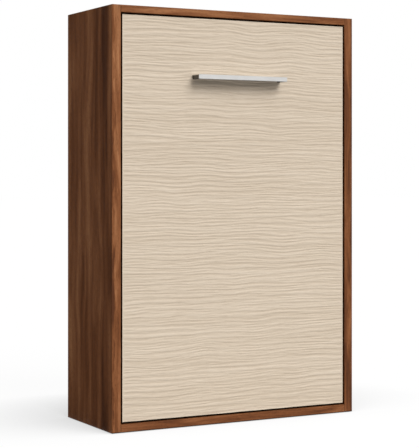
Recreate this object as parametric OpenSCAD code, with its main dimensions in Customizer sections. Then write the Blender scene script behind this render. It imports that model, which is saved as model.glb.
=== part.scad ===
// Vertical wall bed: a cabinet against the wall, and a bed that folds down out of its front.
// Drawn closed. The origin is the bottom centre of the whole object, the front faces -Y, up is +Z.
// The bed turns about two pins low in the sides. Each gas spring is pinned to the cabinet and to
// the bed at the same radius from that axis, so its two halves stay in line at every angle.

/* [Mattress] */
// Width of the mattress
mattress_w = 1200; // [1000:10:1600]
// Length of the mattress
mattress_l = 1900; // [1700:10:2100]
// Thickness of the mattress at its crown
mattress_t = 180; // [140:5:200]
// Radius of the mattress's corners, seen from above
mattress_r = 70; // [40:5:120]
// Rise of the mattress's faces from their edge to the middle
mattress_crown = 9; // [4:1:15]
// Draw-in of the mattress's sides between the corners
mattress_draw = 4; // [1:1:8]
// Radius of the tape seam round the mattress's edges
tape_r = 4; // [2:0.5:6]
// Thickness of the padded cover round the mattress's spring core
mattress_pad = 14; // [10:1:25]
// Width of the strap round the mattress
strap_w = 40; // [25:5:60]
// Thickness of the strap
strap_t = 1.6; // [1:0.2:3]

/* [Cabinet] */
// Depth of the cabinet
case_d = 550; // [480:5:650]
// Thickness of the side panels
side_t = 48; // [30:1:60]
// Thickness of the top panel
top_t = 36; // [25:1:50]
// Thickness of the base panel
base_t = 40; // [25:1:60]
// Chamfer along the boards' edges
board_ease = 1.5; // [0.5:0.5:3]
// Thickness of the back sheets
sheet_t = 8; // [4:1:12]
// Depth of the grooves that hold the back sheets
groove_deep = 8; // [5:1:12]
// Height of the wall rails
wall_rail_h = 100; // [70:5:140]
// Thickness of the wall rails
wall_rail_t = 18; // [15:1:25]
// Distance between the two wall holes of a rail
wall_hole_span = 1000; // [600:20:1100]
// Radius of the wall holes
wall_hole_r = 5; // [3:0.5:8]
// Height of the floor glides
glide_h = 3; // [2:0.5:8]
// Radius of the floor glides
glide_r = 18; // [12:1:20]
// Leg length of the corner brackets
corner_leg = 40; // [30:2:60]
// Sheet thickness of the small brackets
bracket_t = 3; // [2:0.5:4]

/* [Front panel] */
// Thickness of the front panel
panel_t = 22; // [16:1:30]
// Setback of the front panel from the cabinet's front edges
panel_recess = 4; // [2:0.5:10]
// Gap between the panel and each side
side_gap = 8; // [6:0.5:12]
// Gap above the panel
top_gap = 8; // [6:0.5:12]
// Gap below the panel
base_gap = 9; // [8:0.5:14]

/* [Handle] */
// Length of the handle
handle_l = 512; // [200:4:800]
// Height of the handle's front lip
handle_h = 23; // [16:1:32]
// Wall thickness of the handle's angle profile
handle_t = 4; // [3:0.5:6]
// Reach of the handle in front of the panel
handle_reach = 70; // [50:1:80]
// Width of the two blocks that close the handle's ends
handle_leg = 18; // [12:1:30]
// Distance of the lip's centre line below the panel's top edge
handle_drop = 297; // [150:1:500]

/* [Bed frame] */
// Width of the side rails, across the bed
rail_w = 30; // [25:1:40]
// Depth of the side rails, through the bed
rail_d = 50; // [44:1:60]
// Wall of the steel tubes
tube_wall = 2; // [1.5:0.5:3]
// Distance of the side rails' outer faces beyond the mattress
rail_out = 20; // [18:1:27]
// Distance between the panel's edges and the ends of the rails
rail_inset = 7; // [5:1:12]
// Room between the mattress and the rails' lower ends
head_room = 19; // [16:1:30]
// Room between the mattress and the rails' upper ends
foot_room = 61; // [52:1:90]
// Depth of the cross rails
cross_d = 24; // [16:1:30]
// Number of slats
slat_n = 14; // [10:1:16]
// Width of a slat
slat_w = 68; // [50:1:75]
// Thickness of a slat
slat_t = 8; // [6:0.5:10]
// Rise of a slat at mid span
slat_crown = 4; // [2:0.5:6]
// Wall of the slat holders
holder_wall = 3; // [2:0.5:4]
// Length of a slat held in its holder
holder_deep = 24; // [15:1:40]

/* [Pivot and gas springs] */
// Height of the pivot above the panel's lower edge
tail_len = 271; // [240:1:320]
// Radius of the pivot pins
pin_r = 8; // [6:0.5:9]
// Wall of the pivot bushes
bush_wall = 4; // [2:0.5:5]
// Free space beside the bed for a gas spring
spring_gap = 28; // [27:1:36]
// Thickness of the mechanism plates
plate_t = 4; // [3:0.5:6]
// Distance of the spring's lower stud from the rail's end
stud_in = 44; // [30:1:60]
// Angle of the spring's anchor behind the upright through the pivot
spring_lean = 15; // [12:1:20]
// Radius of the gas cylinders
cylinder_r = 11; // [9:0.5:11.5]
// Wall of the gas cylinders
cylinder_wall = 1; // [0.8:0.1:1.5]
// Radius of the gas springs' rods
rod_r = 5; // [4:0.5:6]
// Radius of the gas springs' studs
stud_r = 4; // [3:0.5:5]
// Radius of the gas springs' eyes
eye_r = 9; // [7.5:0.5:11]
// Width of the gas springs' eyes
eye_w = 10; // [8:1:14]

/* [Swing-out leg] */
// Thickness of the leg's arms
leg_t = 8; // [5:1:8]
// Width of the leg's arms
leg_w = 26; // [20:1:30]
// Radius of the leg's pivot bolts
leg_bolt_r = 5; // [4:0.5:6]
// Distance of the leg's pivot below the rails' upper ends
leg_in = 11; // [9:1:20]
// Distance of the leg's pivot in front of the rails' rear faces
leg_set = 6; // [2:1:12]
// Radius of the leg's crossbar
leg_bar_r = 12.5; // [10:0.5:16]
// Wall of the leg's crossbar
leg_bar_wall = 1.5; // [1:0.5:3]
// Thickness of the leg's pads
leg_pad_t = 5; // [3:0.5:8]
// Gap between the stowed crossbar and the mattress
leg_bar_gap = 5.55; // [2:0.05:20]

/* [Hidden] */
$fn = 48;

// Clearances: seats on another body, running fits, fixed fits, screw holes
seat = 0.3;
run_fit = 0.06;
fixed_fit = 0.02;
hole_fit = 0.3;
cut = 1;

// Heights, from the floor upwards
base_z1 = glide_h + base_t;
panel_z0 = base_z1 + base_gap;
rail_z0 = panel_z0 + rail_inset;
mattress_z0 = rail_z0 + head_room;
mattress_z1 = mattress_z0 + mattress_l;
rail_z1 = mattress_z1 + foot_room;
panel_z1 = rail_z1 + rail_inset;
top_z0 = panel_z1 + top_gap;
case_z1 = top_z0 + top_t;

// Half widths, from the middle outwards
mattress_x = mattress_w / 2;
rail_x1 = mattress_x + rail_out;
rail_x0 = rail_x1 - rail_w;
plate_x0 = rail_x1 + spring_gap;
side_x0 = plate_x0 + plate_t;
side_x1 = side_x0 + side_t;
panel_x = side_x0 - side_gap;
spring_x = rail_x1 + spring_gap / 2;

// Depths, from the front backwards
front_y = (handle_reach - panel_recess - case_d) / 2;
back_y = front_y + case_d;
panel_y0 = front_y + panel_recess;
panel_y1 = panel_y0 + panel_t;
rail_y1 = panel_y1 + rail_d;
mattress_y0 = rail_y1 + seat;
mattress_y1 = mattress_y0 + mattress_t;
sheet_y1 = back_y - wall_rail_t;
sheet_y0 = sheet_y1 - sheet_t;

// Pivot, and the two ends of a gas spring, as [y, z]
pivot = [panel_y1 + rail_d / 2, panel_z0 + tail_len];
spring_r = tail_len - rail_inset - stud_in;
anchor = pivot + spring_r * [sin(spring_lean), cos(spring_lean)];
stud = pivot - [0, spring_r];
bush_r = pin_r + bush_wall;
flange_r = bush_r + 1;
flange_t = 2;
pin_end = 2;

// Gas spring, measured along the line between its eyes
spring_tilt = spring_lean / 2;
spring_closed = 2 * spring_r * cos(spring_tilt);
spring_open = 2 * spring_r * sin((90 - spring_lean) / 2);
ferrule_l = 16;
ferrule_r = 7;
cap_l = 8;
gland_l = 12;
piston_l = 12;
end_play = 2;
cylinder_z0 = eye_r + 7;
cylinder_z1 = spring_open - eye_r - ferrule_l - end_play;
rod_l = spring_closed + piston_l + end_play - (cylinder_z1 - gland_l);
collar_r = 7;
clip_t = 1.8;
clip_r = stud_r + 2.5;

// Mechanism plate, and its screws as [y, z]
lobe_r = 20;
plate_r = 30;
plate_screws_at = [
    pivot - [0, 45], pivot - [0, 80],
    anchor + [0, 40], anchor + [0, 75]
];
plate_screw_r = 3;
plate_screw_l = 30;
plate_head_r = 6;
plate_head_h = 3.2;

// Handle
handle_z0 = panel_z1 - handle_drop - handle_h / 2;
handle_z1 = handle_z0 + handle_h;
handle_y0 = panel_y0 - handle_reach;
handle_ease = 1;
handle_x = (handle_l - handle_leg) / 2;
handle_leg_h = handle_h - handle_t;
handle_screw_z = handle_z0 + handle_leg_h / 2;

// Small screws: shank, head, head height, length in the wood or the leg
screw_r = 2.2;
screw_head_r = 4.5;
screw_head_h = 2.4;
screw_l = 14;

// Slats and their holders
slat_y0 = rail_y1 - slat_t - slat_crown;
slat_x = rail_x0 - 2;
holder_h = slat_w + 2 * holder_wall + 2 * hole_fit;
slat_margin = 6;
slat_za = rail_z0 + rail_w + slat_margin + holder_h / 2;
slat_zb = rail_z1 - rail_w - slat_margin - holder_h / 2;
slat_steps = 12;

// Brackets that hold the front panel on the frame
panel_bracket_n = 5;
panel_bracket_w = 40;
panel_bracket_leg = 28;
panel_bracket_t = 2.5;
panel_bracket_in = 60;
panel_bracket_a = rail_z0 + rail_w + panel_bracket_in;
panel_bracket_b = rail_z1 - rail_w - panel_bracket_in;
cross_at = [1 / 3, 2 / 3];

// Stops and catches under the top panel
stop_z = rail_z1 - rail_w / 2;
stop_y = rail_y1 + 6 + seat;
stop_w = 40;
stop_foot = 40;
buffer_r = 10;
strike_t = 1.5;
catch_h = 16;
catch_w = 30;
buffer_x = mattress_x * 0.75;
catch_x = mattress_x * 0.25;

// Corner brackets: middle of each along the depth
corner_len = 50;
corner_rear_in = 70;
corner_apart = 120;
corner_rear_y = back_y - wall_rail_t - sheet_t - corner_rear_in;
corner_y = [corner_rear_y - corner_apart, corner_rear_y];

// Ledge and tabs that hold the mattress
ledge_reach = 100;
ledge_in = 2;
guard_h = 70;
guard_w = 50;
guard_gap = 3;

// Leg: pivot as [y, z], reach to the crossbar, crank past the panel's edge, stowed angle
leg_pivot = [rail_y1 - leg_set, rail_z1 - leg_in];
leg_eye_wall = 10;
leg_eye_r = leg_bolt_r + leg_eye_wall;
leg_floor_gap = 0.5;
leg_reach = pivot[1] + leg_pivot[0] - pivot[0] - leg_bar_r - leg_pad_t - leg_floor_gap;
leg_clear = 4;
leg_crank = panel_z1 + leg_clear + leg_w / 2 - leg_pivot[1];
leg_crank_run = 20;
leg_bar_y = mattress_y1 + leg_bar_gap + leg_bar_r;
leg_radius = sqrt(leg_reach * leg_reach + leg_crank * leg_crank);
leg_stow = acos((leg_bar_y - leg_pivot[0]) / leg_radius) - atan(leg_crank / leg_reach);
leg_along = [cos(leg_stow), -sin(leg_stow)];
leg_across = [-sin(leg_stow), -cos(leg_stow)];
leg_knee = leg_pivot + leg_crank_run * leg_along + leg_crank * leg_across;
leg_end = leg_pivot + leg_reach * leg_along + leg_crank * leg_across;
leg_bracket_t = 4;
leg_lug = 6;
leg_heel_in = 22;
leg_toe_in = 36;
leg_x0 = rail_x1 + leg_bracket_t + seat;
leg_x1 = leg_x0 + leg_t;
leg_head_r = leg_bolt_r + 3;
leg_head_h = 3.5;
leg_plug = 24;
leg_screw_r = 4;
leg_pad_l = 60;
leg_pad_x = mattress_x * 0.85;

// Colours of the finishes
walnut = "#6f4630";
larch = "#d8cbb4";
alloy = "#c9cbcc";
zinc = "#a9adb0";
frame_grey = "#4a4e52";
black = "#262728";
birch = "#d9b98a";
sheet_grey = "#cfcac0";
ticking = "#eeece6";

// Middle of item i of n that are spread evenly from a to b
function spread(a, b, n, i) = a + (b - a) * i / (n - 1);

// Turn a shape drawn in [y, z] into a plate that starts at x and is t thick
module plate_at(x, t)
    translate([x, 0, 0]) rotate([90, 0, 90]) linear_extrude(t) children();

// Turn something drawn along +Z towards -X, +X, +Y or -Y
module to_left(p) translate(p) rotate([0, -90, 0]) children();
module to_right(p) translate(p) rotate([0, 90, 0]) children();
module to_back(p) translate(p) rotate([-90, 0, 0]) children();
module to_front(p) translate(p) rotate([90, 0, 0]) children();

// The same piece on both sides of the bed
module both_sides() {
    children();
    mirror([1, 0, 0]) children();
}

// Two round ends of radius ra and rb at a and b, joined by their common tangents
module link2d(a, ra, b, rb) {
    along = b - a;
    run = norm(along);
    turn = atan2(along[1], along[0]);
    lean = acos((ra - rb) / run);
    translate(a) circle(ra);
    translate(b) circle(rb);
    polygon([
        a + ra * [cos(turn + lean), sin(turn + lean)],
        a + ra * [cos(turn - lean), sin(turn - lean)],
        b + rb * [cos(turn - lean), sin(turn - lean)],
        b + rb * [cos(turn + lean), sin(turn + lean)]
    ]);
}

// Rectangle with round corners
module round_rect(size, r) {
    translate([r, 0]) square([size[0] - 2 * r, size[1]]);
    translate([0, r]) square([size[0], size[1] - 2 * r]);
    for (x = [r, size[0] - r], y = [r, size[1] - r])
        translate([x, y]) circle(r);
}

// Section of a rectangular steel tube
module tube2d(w, d) {
    difference() {
        round_rect([w, d], tube_wall + 1);
        translate([tube_wall, tube_wall]) round_rect([w - 2 * tube_wall, d - 2 * tube_wall], 1);
    }
}

// Rectangle with cut corners
module cut_rect(w, d, e)
    polygon([[e, 0], [w - e, 0], [w, e], [w, d - e], [w - e, d], [e, d], [0, d - e], [0, e]]);

// Board with a small chamfer along every edge
module board(size, e) {
    intersection() {
        linear_extrude(size[2]) cut_rect(size[0], size[1], e);
        translate([0, size[1], 0]) rotate([90, 0, 0]) linear_extrude(size[1]) cut_rect(size[0], size[2], e);
        rotate([90, 0, 90]) linear_extrude(size[0]) cut_rect(size[1], size[2], e);
    }
}

// Screw along Z: its head above z = 0, its shank below
module screw(head, head_h, shank, len) {
    cylinder(h = head_h * 0.6, r = head);
    translate([0, 0, head_h * 0.6]) cylinder(h = head_h * 0.4, r1 = head, r2 = head * 0.75);
    translate([0, 0, -len]) cylinder(h = len, r = shank);
}

// Cabinet

// Places of the corner brackets' screws in a side panel, as [y, z]
corner_side_at = [
    for (y = corner_y, z = [base_z1 + corner_leg / 2 + 4, top_z0 - corner_leg / 2 - 4]) [y, z]
];

module right_side_board() {
    difference() {
        translate([side_x0, front_y, glide_h]) board([side_t, case_d, case_z1 - glide_h], board_ease);
        translate([side_x0 - cut, sheet_y0 - fixed_fit, base_z1])
            cube([groove_deep + cut, sheet_t + 2 * fixed_fit, top_z0 - base_z1]);
        for (at = plate_screws_at)
            to_right([side_x0 - cut, at[0], at[1]])
                cylinder(h = plate_screw_l + cut, r = plate_screw_r + fixed_fit);
        for (at = corner_side_at)
            to_right([side_x0 - cut, at[0], at[1]])
                cylinder(h = screw_l + cut, r = screw_r + fixed_fit);
    }
}
module left_side_panel() { color(walnut) mirror([1, 0, 0]) right_side_board(); }
module right_side_panel() { color(walnut) right_side_board(); }

// Places of the stop brackets' screws in the top panel
stop_screw_y = stop_y + stop_foot * 0.65;
stop_screws_at = [
    for (x = [buffer_x, catch_x], s = [-1, 1], d = [-1, 1]) [s * x + d * stop_w * 0.28, stop_screw_y]
];
corner_screw_x = side_x0 - corner_leg / 2 - 4;

module top_panel() {
    color(walnut) difference() {
        translate([-side_x0, front_y, top_z0]) board([2 * side_x0, case_d, top_t], board_ease);
        for (at = stop_screws_at)
            translate([at[0], at[1], top_z0 - cut]) cylinder(h = screw_l + cut, r = screw_r + fixed_fit);
        both_sides() for (y = corner_y)
            translate([corner_screw_x, y, top_z0 - cut])
                cylinder(h = screw_l + cut, r = screw_r + fixed_fit);
    }
}
module base_panel() {
    color(walnut) difference() {
        translate([-side_x0, front_y, glide_h]) board([2 * side_x0, case_d, base_t], board_ease);
        both_sides() for (y = corner_y)
            translate([corner_screw_x, y, base_z1 - screw_l])
                cylinder(h = screw_l + cut, r = screw_r + fixed_fit);
    }
}

// The two back sheets lap the wall rails and meet in a joiner strip
sheet_lap = 20;
sheet_z0 = base_z1 + wall_rail_h - sheet_lap;
sheet_z1 = top_z0 - wall_rail_h + sheet_lap;
sheet_mid = (sheet_z0 + sheet_z1) / 2;
sheet_x = side_x0 + groove_deep - 1;
joiner_web = 2;
joiner_lip = 1.5;
joiner_lap = 12;

module back_sheet(z0, z1)
    translate([-sheet_x, sheet_y0, z0]) cube([2 * sheet_x, sheet_t, z1 - z0]);
module back_sheet_lower() { color(sheet_grey) back_sheet(sheet_z0, sheet_mid - joiner_web / 2); }
module back_sheet_upper() { color(sheet_grey) back_sheet(sheet_mid + joiner_web / 2, sheet_z1); }
module back_joiner() {
    color(sheet_grey) {
        translate([-side_x0, sheet_y0 - joiner_lip, sheet_mid - joiner_lap])
            cube([2 * side_x0, joiner_lip, 2 * joiner_lap]);
        translate([-side_x0, sheet_y0 - joiner_lip, sheet_mid - joiner_web / 2])
            cube([2 * side_x0, sheet_t + 2 * joiner_lip, joiner_web]);
        translate([-side_x0, sheet_y1, sheet_mid - joiner_lap])
            cube([2 * side_x0, joiner_lip, 2 * joiner_lap]);
    }
}

// Rail across the cabinet at the wall, with two holes for the wall screws
module wall_rail(z0) {
    difference() {
        translate([-side_x0, sheet_y1, z0]) cube([2 * side_x0, wall_rail_t, wall_rail_h]);
        for (s = [-1, 1])
            to_back([s * wall_hole_span / 2, sheet_y1 - cut, z0 + wall_rail_h / 2])
                cylinder(h = wall_rail_t + 2 * cut, r = wall_hole_r);
    }
}
module upper_wall_rail() { color(walnut) wall_rail(top_z0 - wall_rail_h); }
module lower_wall_rail() { color(walnut) wall_rail(base_z1); }

// Angle brackets that tie the sides to the top and the base
module corner_angle2d()
    polygon([[0, 0], [corner_leg, 0], [corner_leg, bracket_t], [bracket_t, bracket_t],
        [bracket_t, corner_leg], [0, corner_leg]]);
module corner_bracket(y) {
    difference() {
        translate([side_x0, y + corner_len / 2, base_z1]) mirror([1, 0, 0]) rotate([90, 0, 0])
            linear_extrude(corner_len) corner_angle2d();
        translate([corner_screw_x, y, base_z1 - cut])
            cylinder(h = bracket_t + 2 * cut, r = screw_r + hole_fit);
        to_right([side_x0 - bracket_t - cut, y, base_z1 + corner_leg / 2 + 4])
            cylinder(h = bracket_t + 2 * cut, r = screw_r + hole_fit);
    }
}
module corner_screw_pair(y) {
    translate([corner_screw_x, y, base_z1 + bracket_t])
        screw(screw_head_r, screw_head_h, screw_r, screw_l);
    to_left([side_x0 - bracket_t, y, base_z1 + corner_leg / 2 + 4])
        screw(screw_head_r, screw_head_h, screw_r, screw_l);
}
// What is drawn at the base comes again under the top, upside down
module top_and_base() {
    children();
    translate([0, 0, base_z1 + top_z0]) mirror([0, 0, 1]) children();
}
module corner_brackets() {
    color(zinc) top_and_base() both_sides() for (y = corner_y) corner_bracket(y);
}
module corner_screws() {
    color(zinc) top_and_base() both_sides() for (y = corner_y) corner_screw_pair(y);
}

module floor_glides() {
    glide_in = 60;
    color(black) for (x = [-side_x1 + side_t / 2, 0, side_x1 - side_t / 2],
                      y = [front_y + glide_in, back_y - glide_in])
        translate([x, y, 0]) {
            cylinder(h = glide_h / 3, r1 = glide_r - glide_h / 3, r2 = glide_r);
            translate([0, 0, glide_h / 3]) cylinder(h = glide_h * 2 / 3, r = glide_r);
        }
}

// Angle under the top panel that carries a buffer or a magnet behind the bed's foot rail
module stop_bracket(x) {
    low = stop_z - catch_h;
    difference() {
        translate([x - stop_w / 2, 0, 0]) rotate([90, 0, 90]) linear_extrude(stop_w)
            polygon([[stop_y, low], [stop_y + bracket_t, low], [stop_y + bracket_t, top_z0 - bracket_t],
                [stop_y + stop_foot, top_z0 - bracket_t], [stop_y + stop_foot, top_z0], [stop_y, top_z0]]);
        for (d = [-1, 1])
            translate([x + d * stop_w * 0.28, stop_screw_y, top_z0 - bracket_t - cut])
                cylinder(h = bracket_t + 2 * cut, r = screw_r + hole_fit);
    }
}
module stop_brackets() {
    color(zinc) for (x = [buffer_x, catch_x], s = [-1, 1]) stop_bracket(s * x);
}
module stop_buffers() {
    color(black) for (s = [-1, 1])
        to_front([s * buffer_x, stop_y, stop_z]) {
            cylinder(h = 4, r = buffer_r);
            translate([0, 0, 4]) cylinder(h = 2, r1 = buffer_r, r2 = buffer_r - 2);
        }
}
module catch_magnets() {
    color(frame_grey) for (s = [-1, 1])
        translate([s * catch_x - catch_w / 2, rail_y1 + strike_t + seat, stop_z - catch_h / 2])
            cube([catch_w, stop_y - rail_y1 - strike_t - seat, catch_h]);
}
module stop_screws() {
    color(zinc) for (at = stop_screws_at)
        translate([at[0], at[1], top_z0 - bracket_t]) mirror([0, 0, 1])
            screw(screw_head_r, screw_head_h, screw_r, screw_l);
}

// Mechanism plate on the side panel, with the pivot pin and the gas spring's anchor in it
module right_plate() {
    difference() {
        plate_at(plate_x0, plate_t) {
            link2d(plate_screws_at[1], lobe_r, pivot, plate_r);
            link2d(pivot, plate_r, anchor, lobe_r);
            link2d(anchor, lobe_r, plate_screws_at[3], lobe_r);
        }
        to_right([plate_x0 - cut, pivot[0], pivot[1]])
            cylinder(h = plate_t + 2 * cut, r = pin_r + fixed_fit);
        to_right([plate_x0 - cut, anchor[0], anchor[1]])
            cylinder(h = plate_t + 2 * cut, r = stud_r + fixed_fit);
        for (at = plate_screws_at)
            to_right([plate_x0, at[0], at[1]]) {
                cylinder(h = plate_head_h, r1 = plate_head_r + fixed_fit, r2 = plate_screw_r + fixed_fit);
                translate([0, 0, -cut]) cylinder(h = plate_t + 2 * cut, r = plate_screw_r + fixed_fit);
            }
    }
}
module left_mechanism_plate() { color(frame_grey) mirror([1, 0, 0]) right_plate(); }
module right_mechanism_plate() { color(frame_grey) right_plate(); }

module plate_screws() {
    color(zinc) both_sides() for (at = plate_screws_at)
        to_right([plate_x0, at[0], at[1]]) {
            cylinder(h = plate_head_h, r1 = plate_head_r, r2 = plate_screw_r);
            cylinder(h = plate_t + plate_screw_l - cut, r = plate_screw_r);
        }
}
module right_pin() {
    shoulder_x = rail_x1 + flange_t + seat;
    to_right([rail_x0 + pin_end, pivot[0], pivot[1]])
        cylinder(h = side_x0 - rail_x0 - pin_end, r = pin_r);
    to_right([shoulder_x, pivot[0], pivot[1]]) cylinder(h = plate_x0 - shoulder_x, r = flange_r);
}
module left_pivot_pin() { color(zinc) mirror([1, 0, 0]) right_pin(); }
module right_pivot_pin() { color(zinc) right_pin(); }

// Stud of a gas spring: base x, outward length of the collar, then the eye, then a clip
module spring_pin(collar_l) {
    cylinder(h = collar_l, r = collar_r);
    cylinder(h = collar_l + eye_w + 2 * seat + clip_t + 0.6, r = stud_r);
    translate([0, 0, collar_l + eye_w + 2 * seat]) cylinder(h = clip_t, r = clip_r);
}
spring_collar_l = (spring_gap - eye_w) / 2 - seat;
module right_anchor() {
    to_left([plate_x0, anchor[0], anchor[1]]) spring_pin(spring_collar_l);
    to_left([side_x0, anchor[0], anchor[1]]) cylinder(h = plate_t + cut, r = stud_r);
}
module left_anchor_stud() { color(zinc) mirror([1, 0, 0]) right_anchor(); }
module right_anchor_stud() { color(zinc) right_anchor(); }

// Bed: front panel and handle

panel_bracket_z = [
    for (i = [0 : panel_bracket_n - 1]) spread(panel_bracket_a, panel_bracket_b, panel_bracket_n, i)
];
panel_screw_x = rail_x0 - panel_bracket_leg * 0.6;

module front_panel() {
    color(larch) difference() {
        translate([-panel_x, panel_y0, panel_z0])
            board([2 * panel_x, panel_t, panel_z1 - panel_z0], board_ease);
        for (s = [-1, 1])
            to_back([s * handle_x, panel_y0 - cut, handle_screw_z])
                cylinder(h = panel_t + 2 * cut, r = screw_r + hole_fit);
        both_sides() for (z = panel_bracket_z)
            to_front([panel_screw_x, panel_y1 + cut, z])
                cylinder(h = screw_l + cut, r = screw_r + fixed_fit);
    }
}

// The profile as [y, z]: a lip in front and a flange over the fingers, back to the panel
module handle2d() {
    lip_y1 = handle_y0 + handle_t;
    e = handle_ease;
    polygon([
        [handle_y0, handle_z0 + e], [handle_y0 + e, handle_z0],
        [lip_y1 - e, handle_z0], [lip_y1, handle_z0 + e],
        [lip_y1, handle_z1 - handle_t], [panel_y0, handle_z1 - handle_t],
        [panel_y0, handle_z1 - e], [panel_y0 - e, handle_z1],
        [handle_y0 + e, handle_z1], [handle_y0, handle_z1 - e]
    ]);
}
module handle_bar() {
    color(alloy) translate([-handle_l / 2, 0, 0]) rotate([90, 0, 90])
        linear_extrude(handle_l) handle2d();
}
module handle_legs() {
    color(alloy) for (s = [-1, 1])
        difference() {
            translate([s * handle_x - handle_leg / 2, handle_y0 + handle_t, handle_z0])
                board([handle_leg, handle_reach - handle_t, handle_leg_h], handle_ease);
            to_front([s * handle_x, panel_y0 + cut, handle_screw_z])
                cylinder(h = screw_l + cut, r = screw_r + fixed_fit);
        }
}
module handle_screws() {
    color(zinc) for (s = [-1, 1])
        to_back([s * handle_x, panel_y1, handle_screw_z])
            screw(screw_head_r, screw_head_h, screw_r, panel_t + screw_l - cut);
}

// Bed: steel frame

module right_tube() {
    difference() {
        translate([rail_x0, panel_y1, rail_z0]) linear_extrude(rail_z1 - rail_z0) tube2d(rail_w, rail_d);
        to_right([rail_x0 - cut, pivot[0], pivot[1]])
            cylinder(h = rail_w + 2 * cut, r = bush_r + fixed_fit);
    }
}
module left_rail() { color(frame_grey) mirror([1, 0, 0]) right_tube(); }
module right_rail() { color(frame_grey) right_tube(); }

// Tube across the bed between the side rails, d deep, its lower face at z
module cross_tube(z, d)
    translate([-rail_x0, panel_y1, z]) rotate([90, 0, 90]) linear_extrude(2 * rail_x0) tube2d(d, rail_w);
module head_rail() { color(frame_grey) cross_tube(rail_z0, rail_d); }
module foot_rail() { color(frame_grey) cross_tube(rail_z1 - rail_w, rail_d); }
module cross_rails() {
    color(frame_grey) for (f = cross_at)
        cross_tube(rail_z0 + f * (rail_z1 - rail_z0) - rail_w / 2, cross_d);
}
// Plastic plugs in the open ends of the side rails
module rail_cap() {
    lip = 2;
    plug = 12;
    inset = tube_wall + fixed_fit;
    translate([rail_x0, panel_y1, rail_z1]) linear_extrude(lip) round_rect([rail_w, rail_d], tube_wall + 1);
    translate([rail_x0 + inset, panel_y1 + inset, rail_z1 - plug])
        linear_extrude(plug) round_rect([rail_w - 2 * inset, rail_d - 2 * inset], 1);
}
module rail_end_caps() {
    color(black) both_sides() {
        rail_cap();
        translate([0, 0, rail_z0 + rail_z1]) mirror([0, 0, 1]) rail_cap();
    }
}

// Angles that screw the front panel to the side rails
module panel_bracket(z) {
    translate([0, 0, z - panel_bracket_w / 2]) difference() {
        translate([rail_x0, panel_y1, 0]) mirror([1, 0, 0]) linear_extrude(panel_bracket_w)
            polygon([[0, 0], [panel_bracket_leg, 0], [panel_bracket_leg, panel_bracket_t],
                [panel_bracket_t, panel_bracket_t], [panel_bracket_t, panel_bracket_leg],
                [0, panel_bracket_leg]]);
        to_back([panel_screw_x, panel_y1 - cut, panel_bracket_w / 2])
            cylinder(h = panel_bracket_t + 2 * cut, r = screw_r + hole_fit);
    }
}
module panel_brackets() { color(zinc) both_sides() for (z = panel_bracket_z) panel_bracket(z); }
module bracket_screws() {
    color(zinc) both_sides() for (z = panel_bracket_z)
        to_back([panel_screw_x, panel_y1 + panel_bracket_t, z])
            screw(screw_head_r, screw_head_h, screw_r, screw_l);
}

// Slats: bent strips that rise by slat_crown between their holders
function slat_rise(x) = slat_crown * (1 - (x / slat_x) * (x / slat_x));
function slat_edge(up) = [
    for (i = [0 : slat_steps]) let (x = slat_x * (2 * i / slat_steps - 1)) [x, slat_y0 + slat_rise(x) + up]
];
function reversed(v) = [for (i = [len(v) - 1 : -1 : 0]) v[i]];
module sprung_slats() {
    color(birch) for (i = [0 : slat_n - 1])
        translate([0, 0, spread(slat_za, slat_zb, slat_n, i) - slat_w / 2])
            linear_extrude(slat_w) polygon(concat(slat_edge(0), reversed(slat_edge(slat_t))));
}
module slat_holder(z) {
    wall_y = slat_y0 - holder_wall;
    difference() {
        translate([rail_x0 - holder_deep, wall_y, z - holder_h / 2])
            board([holder_deep, slat_t + 2 * holder_wall, holder_h], 1);
        translate([rail_x0 - holder_deep - cut, slat_y0 - fixed_fit, z - slat_w / 2 - hole_fit])
            cube([holder_deep + cut - 1.5, slat_t + 0.6, slat_w + 2 * hole_fit]);
    }
}
module slat_holders() {
    color(black) both_sides() for (i = [0 : slat_n - 1]) slat_holder(spread(slat_za, slat_zb, slat_n, i));
}

// Flanged bush for the pivot pin
module right_bush() {
    difference() {
        union() {
            to_right([rail_x0, pivot[0], pivot[1]]) cylinder(h = rail_w + 1, r = bush_r);
            to_right([rail_x1, pivot[0], pivot[1]]) cylinder(h = flange_t, r = flange_r);
        }
        to_right([rail_x0 - cut, pivot[0], pivot[1]])
            cylinder(h = rail_w + flange_t + 2 * cut, r = pin_r + run_fit);
    }
}
module left_pivot_bush() { color(black) mirror([1, 0, 0]) right_bush(); }
module right_pivot_bush() { color(black) right_bush(); }

module right_stud() to_right([rail_x1, stud[0], stud[1]]) spring_pin(spring_collar_l);
module left_spring_stud() { color(zinc) mirror([1, 0, 0]) right_stud(); }
module right_spring_stud() { color(zinc) right_stud(); }

module strike_plates() {
    strike_w = 36;
    strike_h = 20;
    color(zinc) for (s = [-1, 1])
        translate([s * catch_x - strike_w / 2, rail_y1, stop_z - strike_h / 2])
            cube([strike_w, strike_t, strike_h]);
}

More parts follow.
